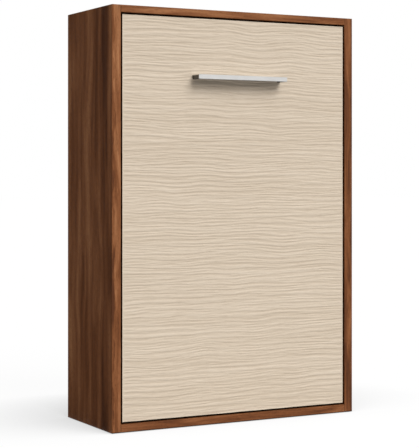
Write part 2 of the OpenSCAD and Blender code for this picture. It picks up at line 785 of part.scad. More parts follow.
// Shelf that carries the mattress's lower end, and tabs that keep it between the rails
module mattress_ledge() {
    ledge_z1 = mattress_z0 - seat;
    ledge_x = mattress_x * 0.75;
    color(frame_grey) translate([-ledge_x, 0, 0]) rotate([90, 0, 90]) linear_extrude(2 * ledge_x)
        polygon([[rail_y1, rail_z0 + ledge_in], [rail_y1 + bracket_t, rail_z0 + ledge_in],
            [rail_y1 + bracket_t, ledge_z1 - bracket_t], [rail_y1 + ledge_reach, ledge_z1 - bracket_t],
            [rail_y1 + ledge_reach, ledge_z1], [rail_y1, ledge_z1]]);
}
module mattress_guard(z) {
    x0 = mattress_x + guard_gap;
    translate([x0, rail_y1, z - guard_w / 2]) cube([rail_x1 - x0 - 1, bracket_t, guard_w]);
    difference() {
        translate([0, 0, z]) plate_at(x0, bracket_t)
            translate([rail_y1, -guard_w / 2]) round_rect([guard_h, guard_w], 12);
        translate([x0 - cut, rail_y1 - cut, z - guard_w / 2 - cut])
            cube([bracket_t + 2 * cut, bracket_t + cut, guard_w + 2 * cut]);
    }
    translate([x0, rail_y1, z - guard_w / 2 + 12]) cube([bracket_t, bracket_t + 12, guard_w - 24]);
}
module mattress_guards() {
    color(frame_grey) both_sides() for (f = [0.3, 0.5, 0.75]) mattress_guard(mattress_z0 + f * mattress_l);
}

// Mattress: rings round the mattress, from its underside to its crown.
// Each level is [inset from the outline, y, how much the sides draw in there].
mattress_levels = [
    [260, mattress_y0, 0],
    [40, mattress_y0, 0],
    [tape_r * 1.6, mattress_y0 + tape_r * 0.5, 0],
    [tape_r * 0.4, mattress_y0 + tape_r, 0.3],
    [0, mattress_y0 + tape_r * 2, 0.4],
    [tape_r * 0.7, mattress_y0 + tape_r * 3, 0.6],
    [tape_r * 0.3, mattress_y0 + mattress_t * 0.22, 1],
    [0, (mattress_y0 + mattress_y1) / 2 - mattress_crown / 2, 1],
    [tape_r * 0.3, mattress_y1 - mattress_crown - mattress_t * 0.2, 1],
    [tape_r * 0.7, mattress_y1 - mattress_crown - tape_r * 3, 0.6],
    [0, mattress_y1 - mattress_crown - tape_r * 2, 0.4],
    [tape_r * 0.4, mattress_y1 - mattress_crown - tape_r, 0.3],
    [tape_r * 1.6, mattress_y1 - mattress_crown - tape_r * 0.5, 0],
    [tape_r * 6, mattress_y1 - mattress_crown * 0.72, 0],
    [90, mattress_y1 - mattress_crown * 0.36, 0],
    [180, mattress_y1 - mattress_crown * 0.1, 0],
    [300, mattress_y1, 0]
];
corner_steps = 5;
side_steps = 8;
// Draw-in along a side, from none at its ends to all of it at mid side
function draw_in(t, amount) = mattress_draw * amount * (1 - pow(2 * t - 1, 2));
function ring(level) =
    let (hx = mattress_x - level[0], hz = mattress_l / 2 - level[0],
         r = max(mattress_r - level[0], 12), y = level[1], amount = level[2],
         mz = (mattress_z0 + mattress_z1) / 2)
    concat(
        [for (i = [1 : side_steps - 1]) let (t = i / side_steps)
            [hx - draw_in(t, amount), y, mz - (hz - r) + 2 * t * (hz - r)]],
        [for (i = [0 : corner_steps]) let (a = 90 * i / corner_steps)
            [hx - r + r * cos(a), y, mz + hz - r + r * sin(a)]],
        [for (i = [1 : side_steps - 1]) let (t = i / side_steps)
            [hx - r - 2 * t * (hx - r), y, mz + hz - draw_in(t, amount)]],
        [for (i = [0 : corner_steps]) let (a = 90 + 90 * i / corner_steps)
            [-hx + r + r * cos(a), y, mz + hz - r + r * sin(a)]],
        [for (i = [1 : side_steps - 1]) let (t = i / side_steps)
            [-hx + draw_in(t, amount), y, mz + (hz - r) - 2 * t * (hz - r)]],
        [for (i = [0 : corner_steps]) let (a = 180 + 90 * i / corner_steps)
            [-hx + r + r * cos(a), y, mz - hz + r + r * sin(a)]],
        [for (i = [1 : side_steps - 1]) let (t = i / side_steps)
            [-hx + r + 2 * t * (hx - r), y, mz - hz + draw_in(t, amount)]],
        [for (i = [0 : corner_steps]) let (a = 270 + 90 * i / corner_steps)
            [hx - r + r * cos(a), y, mz - hz + r + r * sin(a)]]
    );
module mattress() {
    n = len(ring(mattress_levels[0]));
    last = len(mattress_levels) - 1;
    mid_z = (mattress_z0 + mattress_z1) / 2;
    points = concat(
        [for (level = mattress_levels) each ring(level)],
        [[0, mattress_levels[0][1], mid_z], [0, mattress_levels[last][1], mid_z]]
    );
    low = (last + 1) * n;
    high = low + 1;
    sides = [
        for (k = [0 : last - 1], i = [0 : n - 1]) let (j = (i + 1) % n)
            each [[k * n + i, k * n + j, (k + 1) * n + j], [k * n + i, (k + 1) * n + j, (k + 1) * n + i]]
    ];
    under = [for (i = [0 : n - 1]) [low, (i + 1) % n, i]];
    crown = [for (i = [0 : n - 1]) [high, last * n + i, last * n + (i + 1) % n]];
    color(ticking) difference() {
        polyhedron(points = points, faces = concat(sides, under, crown));
        spring_core();
    }
}
// Room of the spring core, which is nearly all air, inside the padded cover
module spring_core() {
    inset = mattress_pad + mattress_draw;
    w = mattress_w - 2 * inset;
    l = mattress_l - 2 * inset;
    translate([-w / 2, mattress_y1 - mattress_crown - mattress_pad, mattress_z0 + inset]) rotate([90, 0, 0])
        linear_extrude(mattress_t - mattress_crown - 2 * mattress_pad) cut_rect(w, l, mattress_r * 0.6);
}

// Strap over the mattress, from rail to rail, with a buckle at its middle
strap_z = mattress_z0 + mattress_l * 0.4;
strap_y0 = mattress_y1 + seat;
module mattress_strap() {
    x0 = mattress_x + seat;
    x1 = x0 + strap_t;
    foot = 14;
    color(black) translate([0, 0, strap_z - strap_w / 2]) linear_extrude(strap_w)
        polygon([[-x1 - foot, rail_y1], [-x0, rail_y1], [-x0, strap_y0], [x0, strap_y0], [x0, rail_y1],
            [x1 + foot, rail_y1], [x1 + foot, rail_y1 + strap_t], [x1, rail_y1 + strap_t],
            [x1, strap_y0 + strap_t], [-x1, strap_y0 + strap_t], [-x1, rail_y1 + strap_t],
            [-x1 - foot, rail_y1 + strap_t]]);
}
module strap_buckle() {
    buckle_w = 56;
    buckle_h = strap_w + 14;
    bar = 8;
    slot = (buckle_w - 3 * bar) / 2;
    color(black) translate([-buckle_w / 2, strap_y0 + strap_t + 5, strap_z - buckle_h / 2])
        rotate([90, 0, 0]) linear_extrude(5) difference() {
            round_rect([buckle_w, buckle_h], 5);
            for (x = [bar, 2 * bar + slot])
                translate([x, 6]) square([slot, buckle_h - 12]);
        }
}

// Swing-out leg

// Plate welded on the rail's outer face, with the leg's pivot at its rear upper corner
module leg_bracket() {
    r = leg_bolt_r + leg_lug;
    heel = leg_pivot - [leg_heel_in, 0];
    toe = heel - [0, leg_toe_in];
    difference() {
        plate_at(rail_x1, leg_bracket_t) {
            link2d(leg_pivot, r, heel, r);
            link2d(heel, r, toe, r);
            link2d(toe, r, leg_pivot, r);
            polygon([leg_pivot, heel, toe]);
        }
        to_right([rail_x1 - cut, leg_pivot[0], leg_pivot[1]])
            cylinder(h = leg_bracket_t + 2 * cut, r = leg_bolt_r + fixed_fit);
    }
}
module leg_brackets() { color(frame_grey) both_sides() leg_bracket(); }
module leg_pivot_bolts() {
    color(zinc) both_sides() to_right([leg_x1 + seat, leg_pivot[0], leg_pivot[1]])
        screw(leg_head_r, leg_head_h, leg_bolt_r, leg_x1 + seat - rail_x1);
}
module right_arm() {
    difference() {
        plate_at(leg_x0, leg_t) {
            link2d(leg_pivot, leg_eye_r, leg_knee, leg_w / 2);
            link2d(leg_knee, leg_w / 2, leg_end, leg_w / 2);
        }
        to_right([leg_x0 - cut, leg_pivot[0], leg_pivot[1]])
            cylinder(h = leg_t + 2 * cut, r = leg_bolt_r + run_fit);
        to_right([leg_x0 - cut, leg_end[0], leg_end[1]])
            cylinder(h = leg_t + 2 * cut, r = leg_screw_r + hole_fit);
    }
}
module left_leg() { color(frame_grey) mirror([1, 0, 0]) right_arm(); }
module right_leg() { color(frame_grey) right_arm(); }

module leg_crossbar() {
    color(frame_grey) to_right([0, leg_end[0], leg_end[1]]) difference() {
        translate([0, 0, -leg_x0]) cylinder(h = 2 * leg_x0, r = leg_bar_r);
        translate([0, 0, -leg_x0 + leg_plug])
            cylinder(h = 2 * (leg_x0 - leg_plug), r = leg_bar_r - leg_bar_wall);
        translate([0, 0, -leg_x0 - cut]) cylinder(h = 2 * (leg_x0 + cut), r = leg_screw_r + fixed_fit);
    }
}
module leg_pads() {
    color(black) for (s = [-1, 1])
        to_right([s * leg_pad_x - leg_pad_l / 2, leg_end[0], leg_end[1]]) difference() {
            cylinder(h = leg_pad_l, r = leg_bar_r + leg_pad_t);
            translate([0, 0, -cut]) cylinder(h = leg_pad_l + 2 * cut, r = leg_bar_r + fixed_fit);
        }
}
module leg_bar_screws() {
    color(zinc) both_sides() to_right([leg_x1, leg_end[0], leg_end[1]])
        screw(leg_head_r, leg_head_h, leg_screw_r, leg_t + leg_plug);
}

// Gas springs

// Draws along the line between the eyes: z = 0 at the eye, +Z towards the anchor
module on_spring(at) translate([spring_x, at[0], at[1]]) rotate([-spring_tilt, 0, 0]) children();

module eye() {
    difference() {
        union() {
            translate([-eye_w / 2, 0, 0]) rotate([0, 90, 0]) cylinder(h = eye_w, r = eye_r);
            children();
        }
        translate([-eye_w / 2 - cut, 0, 0]) rotate([0, 90, 0])
            cylinder(h = eye_w + 2 * cut, r = stud_r + run_fit);
    }
}
module right_cylinder() {
    on_spring(anchor) {
        eye() {
            translate([0, 0, -cylinder_z0 - cap_l])
                cylinder(h = cylinder_z0 + cap_l - stud_r - 2, r = eye_w / 2);
        }
        difference() {
            translate([0, 0, -cylinder_z1]) cylinder(h = cylinder_z1 - cylinder_z0, r = cylinder_r);
            translate([0, 0, -cylinder_z1 - cut])
                cylinder(h = cylinder_z1 - cylinder_z0 - cap_l + cut, r = cylinder_r - cylinder_wall);
        }
    }
}
module left_gas_cylinder() { color(black) mirror([1, 0, 0]) right_cylinder(); }
module right_gas_cylinder() { color(black) right_cylinder(); }

module right_gland() {
    on_spring(anchor) translate([0, 0, -cylinder_z1]) difference() {
        cylinder(h = gland_l, r = cylinder_r - cylinder_wall - fixed_fit);
        translate([0, 0, -cut]) cylinder(h = gland_l + 2 * cut, r = rod_r + run_fit);
    }
}
module left_spring_gland() { color(zinc) mirror([1, 0, 0]) right_gland(); }
module right_spring_gland() { color(zinc) right_gland(); }

module right_rod() {
    on_spring(stud) {
        eye() {
            translate([0, 0, stud_r + 2]) cylinder(h = eye_r + ferrule_l - stud_r - 2, r = eye_w / 2);
        }
        translate([0, 0, eye_r]) cylinder(h = ferrule_l, r = ferrule_r);
        translate([0, 0, eye_r]) cylinder(h = rod_l - eye_r, r = rod_r);
        translate([0, 0, rod_l - piston_l]) cylinder(h = piston_l, r = cylinder_r - cylinder_wall - run_fit);
    }
}
module left_gas_rod() { color(alloy) mirror([1, 0, 0]) right_rod(); }
module right_gas_rod() { color(alloy) right_rod(); }

left_side_panel();
right_side_panel();
top_panel();
base_panel();
back_sheet_lower();
back_sheet_upper();
back_joiner();
upper_wall_rail();
lower_wall_rail();
corner_brackets();
corner_screws();
floor_glides();
stop_brackets();
stop_buffers();
catch_magnets();
stop_screws();
left_mechanism_plate();
right_mechanism_plate();
plate_screws();
left_pivot_pin();
right_pivot_pin();
left_anchor_stud();
right_anchor_stud();
front_panel();
handle_bar();
handle_legs();
handle_screws();
left_rail();
right_rail();
head_rail();
foot_rail();
cross_rails();
rail_end_caps();
panel_brackets();
bracket_screws();
sprung_slats();
slat_holders();
left_pivot_bush();
right_pivot_bush();
left_spring_stud();
right_spring_stud();
strike_plates();
mattress_ledge();
mattress_guards();
mattress();
mattress_strap();
strap_buckle();
leg_brackets();
leg_pivot_bolts();
left_leg();
right_leg();
leg_crossbar();
leg_pads();
leg_bar_screws();
left_gas_cylinder();
right_gas_cylinder();
left_spring_gland();
right_spring_gland();
left_gas_rod();
right_gas_rod();
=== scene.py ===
import math

import bmesh
import bpy
import numpy as np
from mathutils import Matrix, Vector


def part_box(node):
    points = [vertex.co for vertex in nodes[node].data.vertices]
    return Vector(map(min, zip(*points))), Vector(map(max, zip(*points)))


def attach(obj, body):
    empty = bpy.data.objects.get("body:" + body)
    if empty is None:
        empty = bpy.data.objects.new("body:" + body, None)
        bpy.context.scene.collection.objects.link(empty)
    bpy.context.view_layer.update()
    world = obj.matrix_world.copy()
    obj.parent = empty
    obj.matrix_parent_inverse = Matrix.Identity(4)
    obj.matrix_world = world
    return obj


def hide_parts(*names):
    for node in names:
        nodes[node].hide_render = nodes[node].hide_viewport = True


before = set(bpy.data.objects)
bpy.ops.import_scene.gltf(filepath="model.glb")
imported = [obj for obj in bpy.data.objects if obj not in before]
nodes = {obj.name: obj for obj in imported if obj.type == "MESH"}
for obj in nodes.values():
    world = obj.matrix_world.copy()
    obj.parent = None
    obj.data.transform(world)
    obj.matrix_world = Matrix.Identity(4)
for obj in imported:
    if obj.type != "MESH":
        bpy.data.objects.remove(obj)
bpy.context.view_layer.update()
SIDE_LOW, SIDE_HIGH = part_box("left_side_panel")
PANEL_LOW, PANEL_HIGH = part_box("front_panel")
MATTRESS_LOW, MATTRESS_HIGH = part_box("mattress")
STRAP_LOW, STRAP_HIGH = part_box("mattress_strap")
CABINET_HALF_W, BOARD_HALF_W = -SIDE_LOW.x, -SIDE_HIGH.x
CABINET_MID_Y = (SIDE_LOW.y + SIDE_HIGH.y) / 2
ABOUT_Y, ABOUT_Z = (0, 90, 0), (0, 0, 90)


# Camera and key light

def add_object(name, data):
    thing = bpy.data.objects.new(name, data)
    bpy.context.scene.collection.objects.link(thing)
    return thing


def set_camera():
    """A level camera at the front left. Its long lens is shifted down, so upright edges stay upright."""
    left, ahead, height, turned = 3.6144, 6.6622, 1.2586, 28.395
    lens = bpy.data.cameras.new("camera")
    lens.sensor_width = 36.0
    lens.lens = 115.95
    lens.shift_y = -0.109
    lens.clip_start, lens.clip_end = 0.1, 200.0
    camera = add_object("camera", lens)
    camera.location = (-left, CABINET_MID_Y - ahead, height)
    camera.rotation_euler = (math.radians(90), 0.0, math.radians(-turned))
    bpy.context.scene.camera = camera


def set_key_light():
    """One broad, soft light from above the front, a little from the right."""
    towards, distance = Vector((0.24, -0.80, 0.64)), 6
    lamp = bpy.data.lights.new("key_light", "SUN")
    lamp.energy = 2.72
    lamp.angle = math.radians(38)
    key = add_object("key_light", lamp)
    key.rotation_euler = towards.to_track_quat("Z", "Y").to_euler()
    key.location = towards * distance


# Node helpers

def put(tree, kind, **settings):
    node = tree.nodes.new("ShaderNode" + kind)
    for key, value in settings.items():
        setattr(node, key, value)
    return node


def feed(tree, socket, source):
    """Links a socket to the source, or sets it to a plain value. None leaves it as it is."""
    if isinstance(source, bpy.types.NodeSocket):
        tree.links.new(source, socket)
    elif source is not None:
        socket.default_value = source


def calc(tree, operation, a, b=None, c=None):
    node = put(tree, "Math", operation=operation)
    for socket, source in zip(node.inputs, (a, b, c)):
        feed(tree, socket, source)
    return node.outputs[0]


def vector_calc(tree, operation, a, b):
    node = put(tree, "VectorMath", operation=operation)
    feed(tree, node.inputs[0], a)
    feed(tree, node.inputs[1], b)
    return node.outputs["Value" if operation == "DOT_PRODUCT" else "Vector"]


def scaled(tree, vector, amount):
    node = put(tree, "VectorMath", operation="SCALE")
    feed(tree, node.inputs[0], vector)
    feed(tree, node.inputs["Scale"], amount)
    return node.outputs["Vector"]


def parts_of(tree, vector):
    node = put(tree, "SeparateXYZ")
    feed(tree, node.inputs[0], vector)
    return node.outputs


def noise(tree, vector, scale, detail, roughness, colour=False):
    node = put(tree, "TexNoise")
    feed(tree, node.inputs["Vector"], vector)
    feed(tree, node.inputs["Scale"], scale)
    node.inputs["Detail"].default_value = detail
    node.inputs["Roughness"].default_value = roughness
    return node.outputs["Color" if colour else "Fac"]


def drift_of(tree, vector, scale, detail, roughness):
    """A smooth random step to either side, in all three directions."""
    cloud = noise(tree, vector, scale, detail, roughness, colour=True)
    return vector_calc(tree, "SUBTRACT", cloud, (0.5, 0.5, 0.5))


def spread(tree, value, low, high, out_low=0.0, out_high=1.0):
    """Goes smoothly from out_low to out_high while the value goes from low to high."""
    node = put(tree, "MapRange", interpolation_type="SMOOTHSTEP")
    for label, source in zip(("Value", "From Min", "From Max", "To Min", "To Max"),
                             (value, low, high, out_low, out_high)):
        feed(tree, node.inputs[label], source)
    return node.outputs["Result"]


def shades(tree, value, stops):
    node = put(tree, "ValToRGB")
    steps = node.color_ramp.elements
    while len(steps) < len(stops):
        steps.new(0.5)
    for step, (at, colour) in zip(steps, stops):
        step.position = at
        step.color = (*colour, 1.0)
    feed(tree, node.inputs["Fac"], value)
    return node.outputs["Color"]


def tint(tree, amount, below, above):
    """Covers one colour with another. first, second and result are a Mix node's sockets for colours."""
    first, second, result = 6, 7, 2
    node = put(tree, "Mix", data_type="RGBA")
    feed(tree, node.inputs[0], amount)
    for place, source in ((first, below), (second, above)):
        feed(tree, node.inputs[place], (*source, 1.0) if isinstance(source, tuple) else source)
    return node.outputs[result]


def relief(tree, height, distance, strength, under=None):
    node = put(tree, "Bump")
    node.inputs["Strength"].default_value = strength
    node.inputs["Distance"].default_value = distance
    feed(tree, node.inputs["Height"], height)
    feed(tree, node.inputs["Normal"], under)
    return node.outputs["Normal"]


def place_of(tree, turn=None):
    """A point's place on the part, turned by these degrees where the pattern has to run another way."""
    vector = put(tree, "TexCoord").outputs["Object"]
    if turn:
        node = put(tree, "Mapping")
        feed(tree, node.inputs["Vector"], vector)
        node.inputs["Rotation"].default_value = [math.radians(angle) for angle in turn]
        vector = node.outputs["Vector"]
    return vector


def effect(name, takes, gives):
    """A node group with these named inputs and outputs."""
    group = bpy.data.node_groups.new(name, "ShaderNodeTree")
    for label, kind, value in takes:
        socket = group.interface.new_socket(label, in_out="INPUT", socket_type="NodeSocket" + kind)
        if value is not None:
            socket.default_value = value
    for label, kind in gives:
        group.interface.new_socket(label, in_out="OUTPUT", socket_type="NodeSocket" + kind)
    return group, group.nodes.new("NodeGroupInput").outputs, group.nodes.new("NodeGroupOutput").inputs


def use(tree, group, **values):
    """Places a node group in a material and feeds its inputs by name."""
    node = tree.nodes.new("ShaderNodeGroup")
    node.node_tree = group
    for label, source in values.items():
        feed(tree, node.inputs[label.replace("_", " ")], source)
    return node.outputs


def finish(name, **plain):
    """A new material with one shader, on which its plain values are set."""
    material = bpy.data.materials.new(name)
    material.use_nodes = True
    tree = material.node_tree
    tree.nodes.clear()
    surface = put(tree, "BsdfPrincipled")
    tree.links.new(surface.outputs["BSDF"], put(tree, "OutputMaterial").inputs["Surface"])
    for label, value in plain.items():
        surface.inputs[label.replace("_", " ")].default_value = value
    return material, tree, surface.inputs


def connect(tree, surface, colour, roughness, normal):
    for label, source in (("Base Color", colour), ("Roughness", roughness), ("Normal", normal)):
        feed(tree, surface[label], source)


# Effects that several finishes share

def make_wood_figure():
    """Wood grain along Z. Each copy of the place is squeezed along Z by its own amount."""
    fibre_rate, pore_rate = 520.0, 620.0
    tree, given, out = effect(
        "wood_figure",
        [("Vector", "Vector", None), ("Band Width", "Float", 0.05), ("Line Width", "Float", 0.008),
         ("Wander", "Float", 0.06), ("Stretch", "Float", 0.1)],
        [("Bands", "Float"), ("Ribbons", "Float"), ("Lines", "Float"), ("Fibres", "Float"),
         ("Pores", "Float"), ("Height", "Float")])
    slow = vector_calc(tree, "MULTIPLY", given["Vector"], (1.0, 1.0, 0.30))
    drift = drift_of(tree, slow, 5.0, 1.5, 0.45)
    bent = vector_calc(tree, "ADD", given["Vector"], scaled(tree, drift, given["Wander"]))
    squeeze = put(tree, "CombineXYZ")
    squeeze.inputs[0].default_value = squeeze.inputs[1].default_value = 1.0
    feed(tree, squeeze.inputs[2], given["Stretch"])
    along = vector_calc(tree, "MULTIPLY", bent, squeeze.outputs[0])
    thin = vector_calc(tree, "MULTIPLY", bent, (1.0, 1.0, 0.022))
    short = vector_calc(tree, "MULTIPLY", bent, (1.0, 1.0, 0.06))
    band_rate = calc(tree, "DIVIDE", 1.0, given["Band Width"])
    ribbon_rate = calc(tree, "MULTIPLY", band_rate, 2.2)
    line_rate = calc(tree, "DIVIDE", 1.0, given["Line Width"])
    bands = spread(tree, noise(tree, along, band_rate, 1.0, 0.4), 0.28, 0.72)
    ribbons = spread(tree, noise(tree, thin, ribbon_rate, 1.0, 0.5), 0.3, 0.7)
    lines = spread(tree, noise(tree, thin, line_rate, 3.0, 0.6), 0.3, 0.7)
    fibres = spread(tree, noise(tree, thin, fibre_rate, 3.0, 0.65), 0.3, 0.7)
    pores = spread(tree, noise(tree, short, pore_rate, 1.0, 0.5), 0.57, 0.66)
    height = calc(tree, "SUBTRACT", calc(tree, "MULTIPLY", fibres, 0.4), calc(tree, "MULTIPLY", pores, 0.6))
    for label, source in (("Bands", bands), ("Ribbons", ribbons), ("Lines", lines),
                          ("Fibres", fibres), ("Pores", pores), ("Height", height)):
        feed(tree, out[label], source)
    return tree


def make_fine_grit():
    """Fine speckle of a given size, with soft clouds fifty times as large."""
    cloud_share = 0.02
    tree, given, out = effect(
        "fine_grit", [("Vector", "Vector", None), ("Size", "Float", 0.001)],
        [("Speckle", "Float"), ("Cloud", "Float"), ("Height", "Float")])
    rate = calc(tree, "DIVIDE", 1.0, given["Size"])
    fine = noise(tree, given["Vector"], rate, 2.0, 0.6)
    cloud = noise(tree, given["Vector"], calc(tree, "MULTIPLY", rate, cloud_share), 3.0, 0.6)
    feed(tree, out["Speckle"], spread(tree, fine, 0.35, 0.65))
    feed(tree, out["Cloud"], cloud)
    feed(tree, out["Height"], fine)
    return tree


def make_brushing():
    """Brush marks along X, with broad, faint smudges."""
    smudge_rate = 22.0
    tree, given, out = effect(
        "brushing", [("Vector", "Vector", None), ("Width", "Float", 0.0006)],
        [("Streaks", "Float"), ("Smudges", "Float"), ("Height", "Float")])
    rate = calc(tree, "DIVIDE", 1.0, given["Width"])
    flat = vector_calc(tree, "MULTIPLY", given["Vector"], (0.012, 1.0, 1.0))
    streaks = noise(tree, flat, rate, 3.0, 0.65)
    smudges = noise(tree, given["Vector"], smudge_rate, 1.5, 0.5)
    feed(tree, out["Streaks"], spread(tree, streaks, 0.3, 0.7))
    feed(tree, out["Smudges"], spread(tree, smudges, 0.25, 0.75))
    feed(tree, out["Height"], streaks)
    return tree


def make_weave():
    """Crossing threads of a given pitch, with a slow unevenness."""
    slub_rate = 60.0
    tree, given, out = effect(
        "weave", [("Vector", "Vector", None), ("Pitch", "Float", 0.002)],
        [("Threads", "Float"), ("Slub", "Float"), ("Height", "Float")])
    rate = calc(tree, "DIVIDE", math.pi, given["Pitch"])
    part = parts_of(tree, scaled(tree, given["Vector"], rate))
    across = calc(tree, "ABSOLUTE", calc(tree, "SINE", calc(tree, "ADD", part[0], part[1])))
    along = calc(tree, "ABSOLUTE", calc(tree, "SINE", part[2]))
    threads = calc(tree, "POWER", calc(tree, "MULTIPLY", across, along), 0.6)
    slub = noise(tree, given["Vector"], slub_rate, 3.0, 0.6)
    feed(tree, out["Threads"], threads)
    feed(tree, out["Slub"], slub)
    feed(tree, out["Height"], calc(tree, "MULTIPLY_ADD", slub, 0.4, threads))
    return tree


def make_worn_edges():
    """Mask of the worn edges, patchy along them, and a normal that rounds them."""
    patch_rate = 14.0
    tree, given, out = effect(
        "worn_edges", [("Vector", "Vector", None), ("Radius", "Float", 0.002)],
        [("Edge", "Float"), ("Normal", "Vector")])
    rounded = put(tree, "Bevel", samples=6)
    feed(tree, rounded.inputs["Radius"], given["Radius"])
    facing = put(tree, "NewGeometry").outputs["Normal"]
    turned = calc(tree, "SUBTRACT", 1.0, vector_calc(tree, "DOT_PRODUCT", rounded.outputs[0], facing))
    patchy = spread(tree, noise(tree, given["Vector"], patch_rate, 4.0, 0.6), 0.3, 0.7, 0.35, 1.0)
    feed(tree, out["Edge"], calc(tree, "MULTIPLY", spread(tree, turned, 0.01, 0.12), patchy))
    feed(tree, out["Normal"], rounded.outputs[0])
    return tree


wood_figure = make_wood_figure()
fine_grit = make_fine_grit()
brushing = make_brushing()
weave = make_weave()
worn_edges = make_worn_edges()


# Finishes

def figure_tone(tree, figure, base, **weights):
    """base plus the named parts of a wood figure, each times its weight."""
    tone = base
    for label, weight in weights.items():
        tone = calc(tree, "MULTIPLY_ADD", figure[label], weight, tone)
    return tone


def heart_stripe(tree, place, spot):
    """Mask of a dark stripe that wanders up a side panel, near its front."""
    from_front, faded, full = 0.085, 0.075, 0.02
    longer = vector_calc(tree, "MULTIPLY", place, (1.0, 1.0, 0.6))
    drift = scaled(tree, drift_of(tree, longer, 3.0, 2.0, 0.5), 0.10)
    across = parts_of(tree, vector_calc(tree, "ADD", spot, drift))[1]
    near = calc(tree, "ABSOLUTE", calc(tree, "SUBTRACT", across, SIDE_LOW.y + from_front))
    return spread(tree, near, faded, full)


def corner_rings(tree, place, across):
    """Mask of growth rings that wander along the outer corner of a front edge."""
    widest, soft = 0.024, 0.003
    from_corner = calc(tree, "SUBTRACT", CABINET_HALF_W, calc(tree, "ABSOLUTE", across))
    wander = noise(tree, vector_calc(tree, "MULTIPLY", place, (0.0, 0.0, 1.0)), 5.5, 2.5, 0.55)
    reach = spread(tree, wander, 0.3, 0.7, 0.0, widest)
    return spread(tree, calc(tree, "SUBTRACT", reach, from_corner), -soft, soft)


def board_tone(tree, face, place, spot, heart):
    """How light a walnut board is, apart from its front edge."""
    tone = figure_tone(tree, face, 0.04, Bands=0.40, Ribbons=0.22, Lines=0.20, Fibres=0.15)
    if heart:
        stripe = calc(tree, "MULTIPLY", heart_stripe(tree, place, spot), heart)
        tone = calc(tree, "SUBTRACT", tone, stripe)
    return tone


def front_edge_tone(tree, place, across, up, margin, rise):
    """How light a walnut board's front edge is, which has a figure of its own."""
    edge = use(tree, wood_figure, Vector=vector_calc(tree, "ADD", place, (0.37, 0.6, 1.3)),
               Band_Width=0.030, Line_Width=0.007, Wander=0.10, Stretch=0.07)
    tone = figure_tone(tree, edge, 0.10, Bands=0.38, Ribbons=0.24, Lines=0.18, Fibres=0.14)
    if rise:
        above_middle = calc(tree, "SUBTRACT", up, SIDE_HIGH.z / 2)
        tone = calc(tree, "MULTIPLY_ADD", above_middle, rise, tone)
    if margin:
        rings = calc(tree, "MULTIPLY", corner_rings(tree, place, across), margin)
        tone = calc(tree, "SUBTRACT", tone, rings)
    return tone


def walnut(name, turn=None, shift=(0.0, 0.0, 0.0), depth=0.0, heart=0.0, margin=0.0, rise=0.0, joints=False):
    """Dark walnut board. depth darkens the whole board, and heart is the strength of the dark stripe near
    its front. On the front edge, margin is the strength of the dark growth rings that wander along the outer
    corner, and rise is how much lighter the wood gets for each metre up. joints darkens the board's ends,
    where it meets the sides. A front edge that comes down to the floor ends in a dark line of painted shade
    there."""
    material, tree, surface = finish(name, Specular_IOR_Level=0.06)
    here = put(tree, "TexCoord").outputs
    across, _, up = parts_of(tree, here["Object"])
    place = vector_calc(tree, "ADD", place_of(tree, turn), shift)
    on_front = calc(tree, "LESS_THAN", parts_of(tree, here["Normal"])[1], -0.7)
    face = use(tree, wood_figure, Vector=place,
               Band_Width=0.085, Line_Width=0.010, Wander=0.13, Stretch=0.085)
    broad = board_tone(tree, face, place, here["Object"], heart)
    narrow = front_edge_tone(tree, place, across, up, margin, rise)
    tone = calc(tree, "ADD", calc(tree, "MULTIPLY", calc(tree, "SUBTRACT", 1.0, on_front), broad),
                calc(tree, "MULTIPLY", on_front, narrow))
    tone = calc(tree, "SUBTRACT", tone, depth)
    colour = shades(tree, tone, [(0.05, (0.094, 0.033, 0.014)), (0.35, (0.180, 0.064, 0.0235)),
                                 (0.62, (0.264, 0.104, 0.0420)), (0.95, (0.392, 0.178, 0.078))])
    colour = tint(tree, calc(tree, "MULTIPLY", face["Pores"], 0.42), colour, (0.05, 0.018, 0.008))
    if joints:
        from_middle = calc(tree, "ABSOLUTE", across)
        seam = spread(tree, from_middle, BOARD_HALF_W - 0.0028, BOARD_HALF_W - 0.0008)
        colour = tint(tree, calc(tree, "MULTIPLY", seam, 0.75), colour, (0.035, 0.014, 0.007))
    wear = use(tree, worn_edges, Vector=place, Radius=0.0025)
    colour = tint(tree, calc(tree, "MULTIPLY", wear["Edge"], 0.30), colour, (0.40, 0.19, 0.08))
    # Painted shade: the front edge darkens over its last few millimetres above the floor, where the contact
    # shadow falls.
    over_floor = calc(tree, "SUBTRACT", up, SIDE_LOW.z)
    painted_floor_shade = calc(tree, "MULTIPLY", spread(tree, over_floor, 0.0065, 0.0025), on_front)
    colour = tint(tree, calc(tree, "MULTIPLY", painted_floor_shade, 0.85), colour, (0.018, 0.009, 0.005))
    connect(tree, surface, colour, spread(tree, face["Lines"], 0.0, 1.0, 0.46, 0.60),
            relief(tree, face["Height"], 0.0003, 0.5, wear["Normal"]))
    return material


def larch_front():
    """Pale larch. Its grooves are painted a little darker than its crests, as shade in the hollows."""
    material, tree, surface = finish("rippled_larch", Specular_IOR_Level=0.22)
    figure = use(tree, wood_figure, Vector=place_of(tree, ABOUT_Y),
                 Band_Width=0.05, Line_Width=0.004, Wander=0.03, Stretch=0.05)
    groove = put(tree, "Attribute", attribute_name="groove").outputs["Fac"]
    tone = figure_tone(tree, figure, 0.17, Bands=0.14, Lines=0.24, Fibres=0.30)
    # Painted shade: the deeper the groove, the darker the colour.
    tone = calc(tree, "MULTIPLY_ADD", groove, -0.20, tone)
    colour = shades(tree, tone, [(0.0, (0.50, 0.41, 0.31)), (0.5, (0.615, 0.520, 0.412)),
                                 (1.0, (0.72, 0.63, 0.52))])
    colour = tint(tree, calc(tree, "MULTIPLY", figure["Pores"], 0.18), colour, (0.42, 0.33, 0.24))
    connect(tree, surface, colour, spread(tree, figure["Lines"], 0.0, 1.0, 0.52, 0.66),
            relief(tree, figure["Height"], 0.0003, 0.6))
    return material


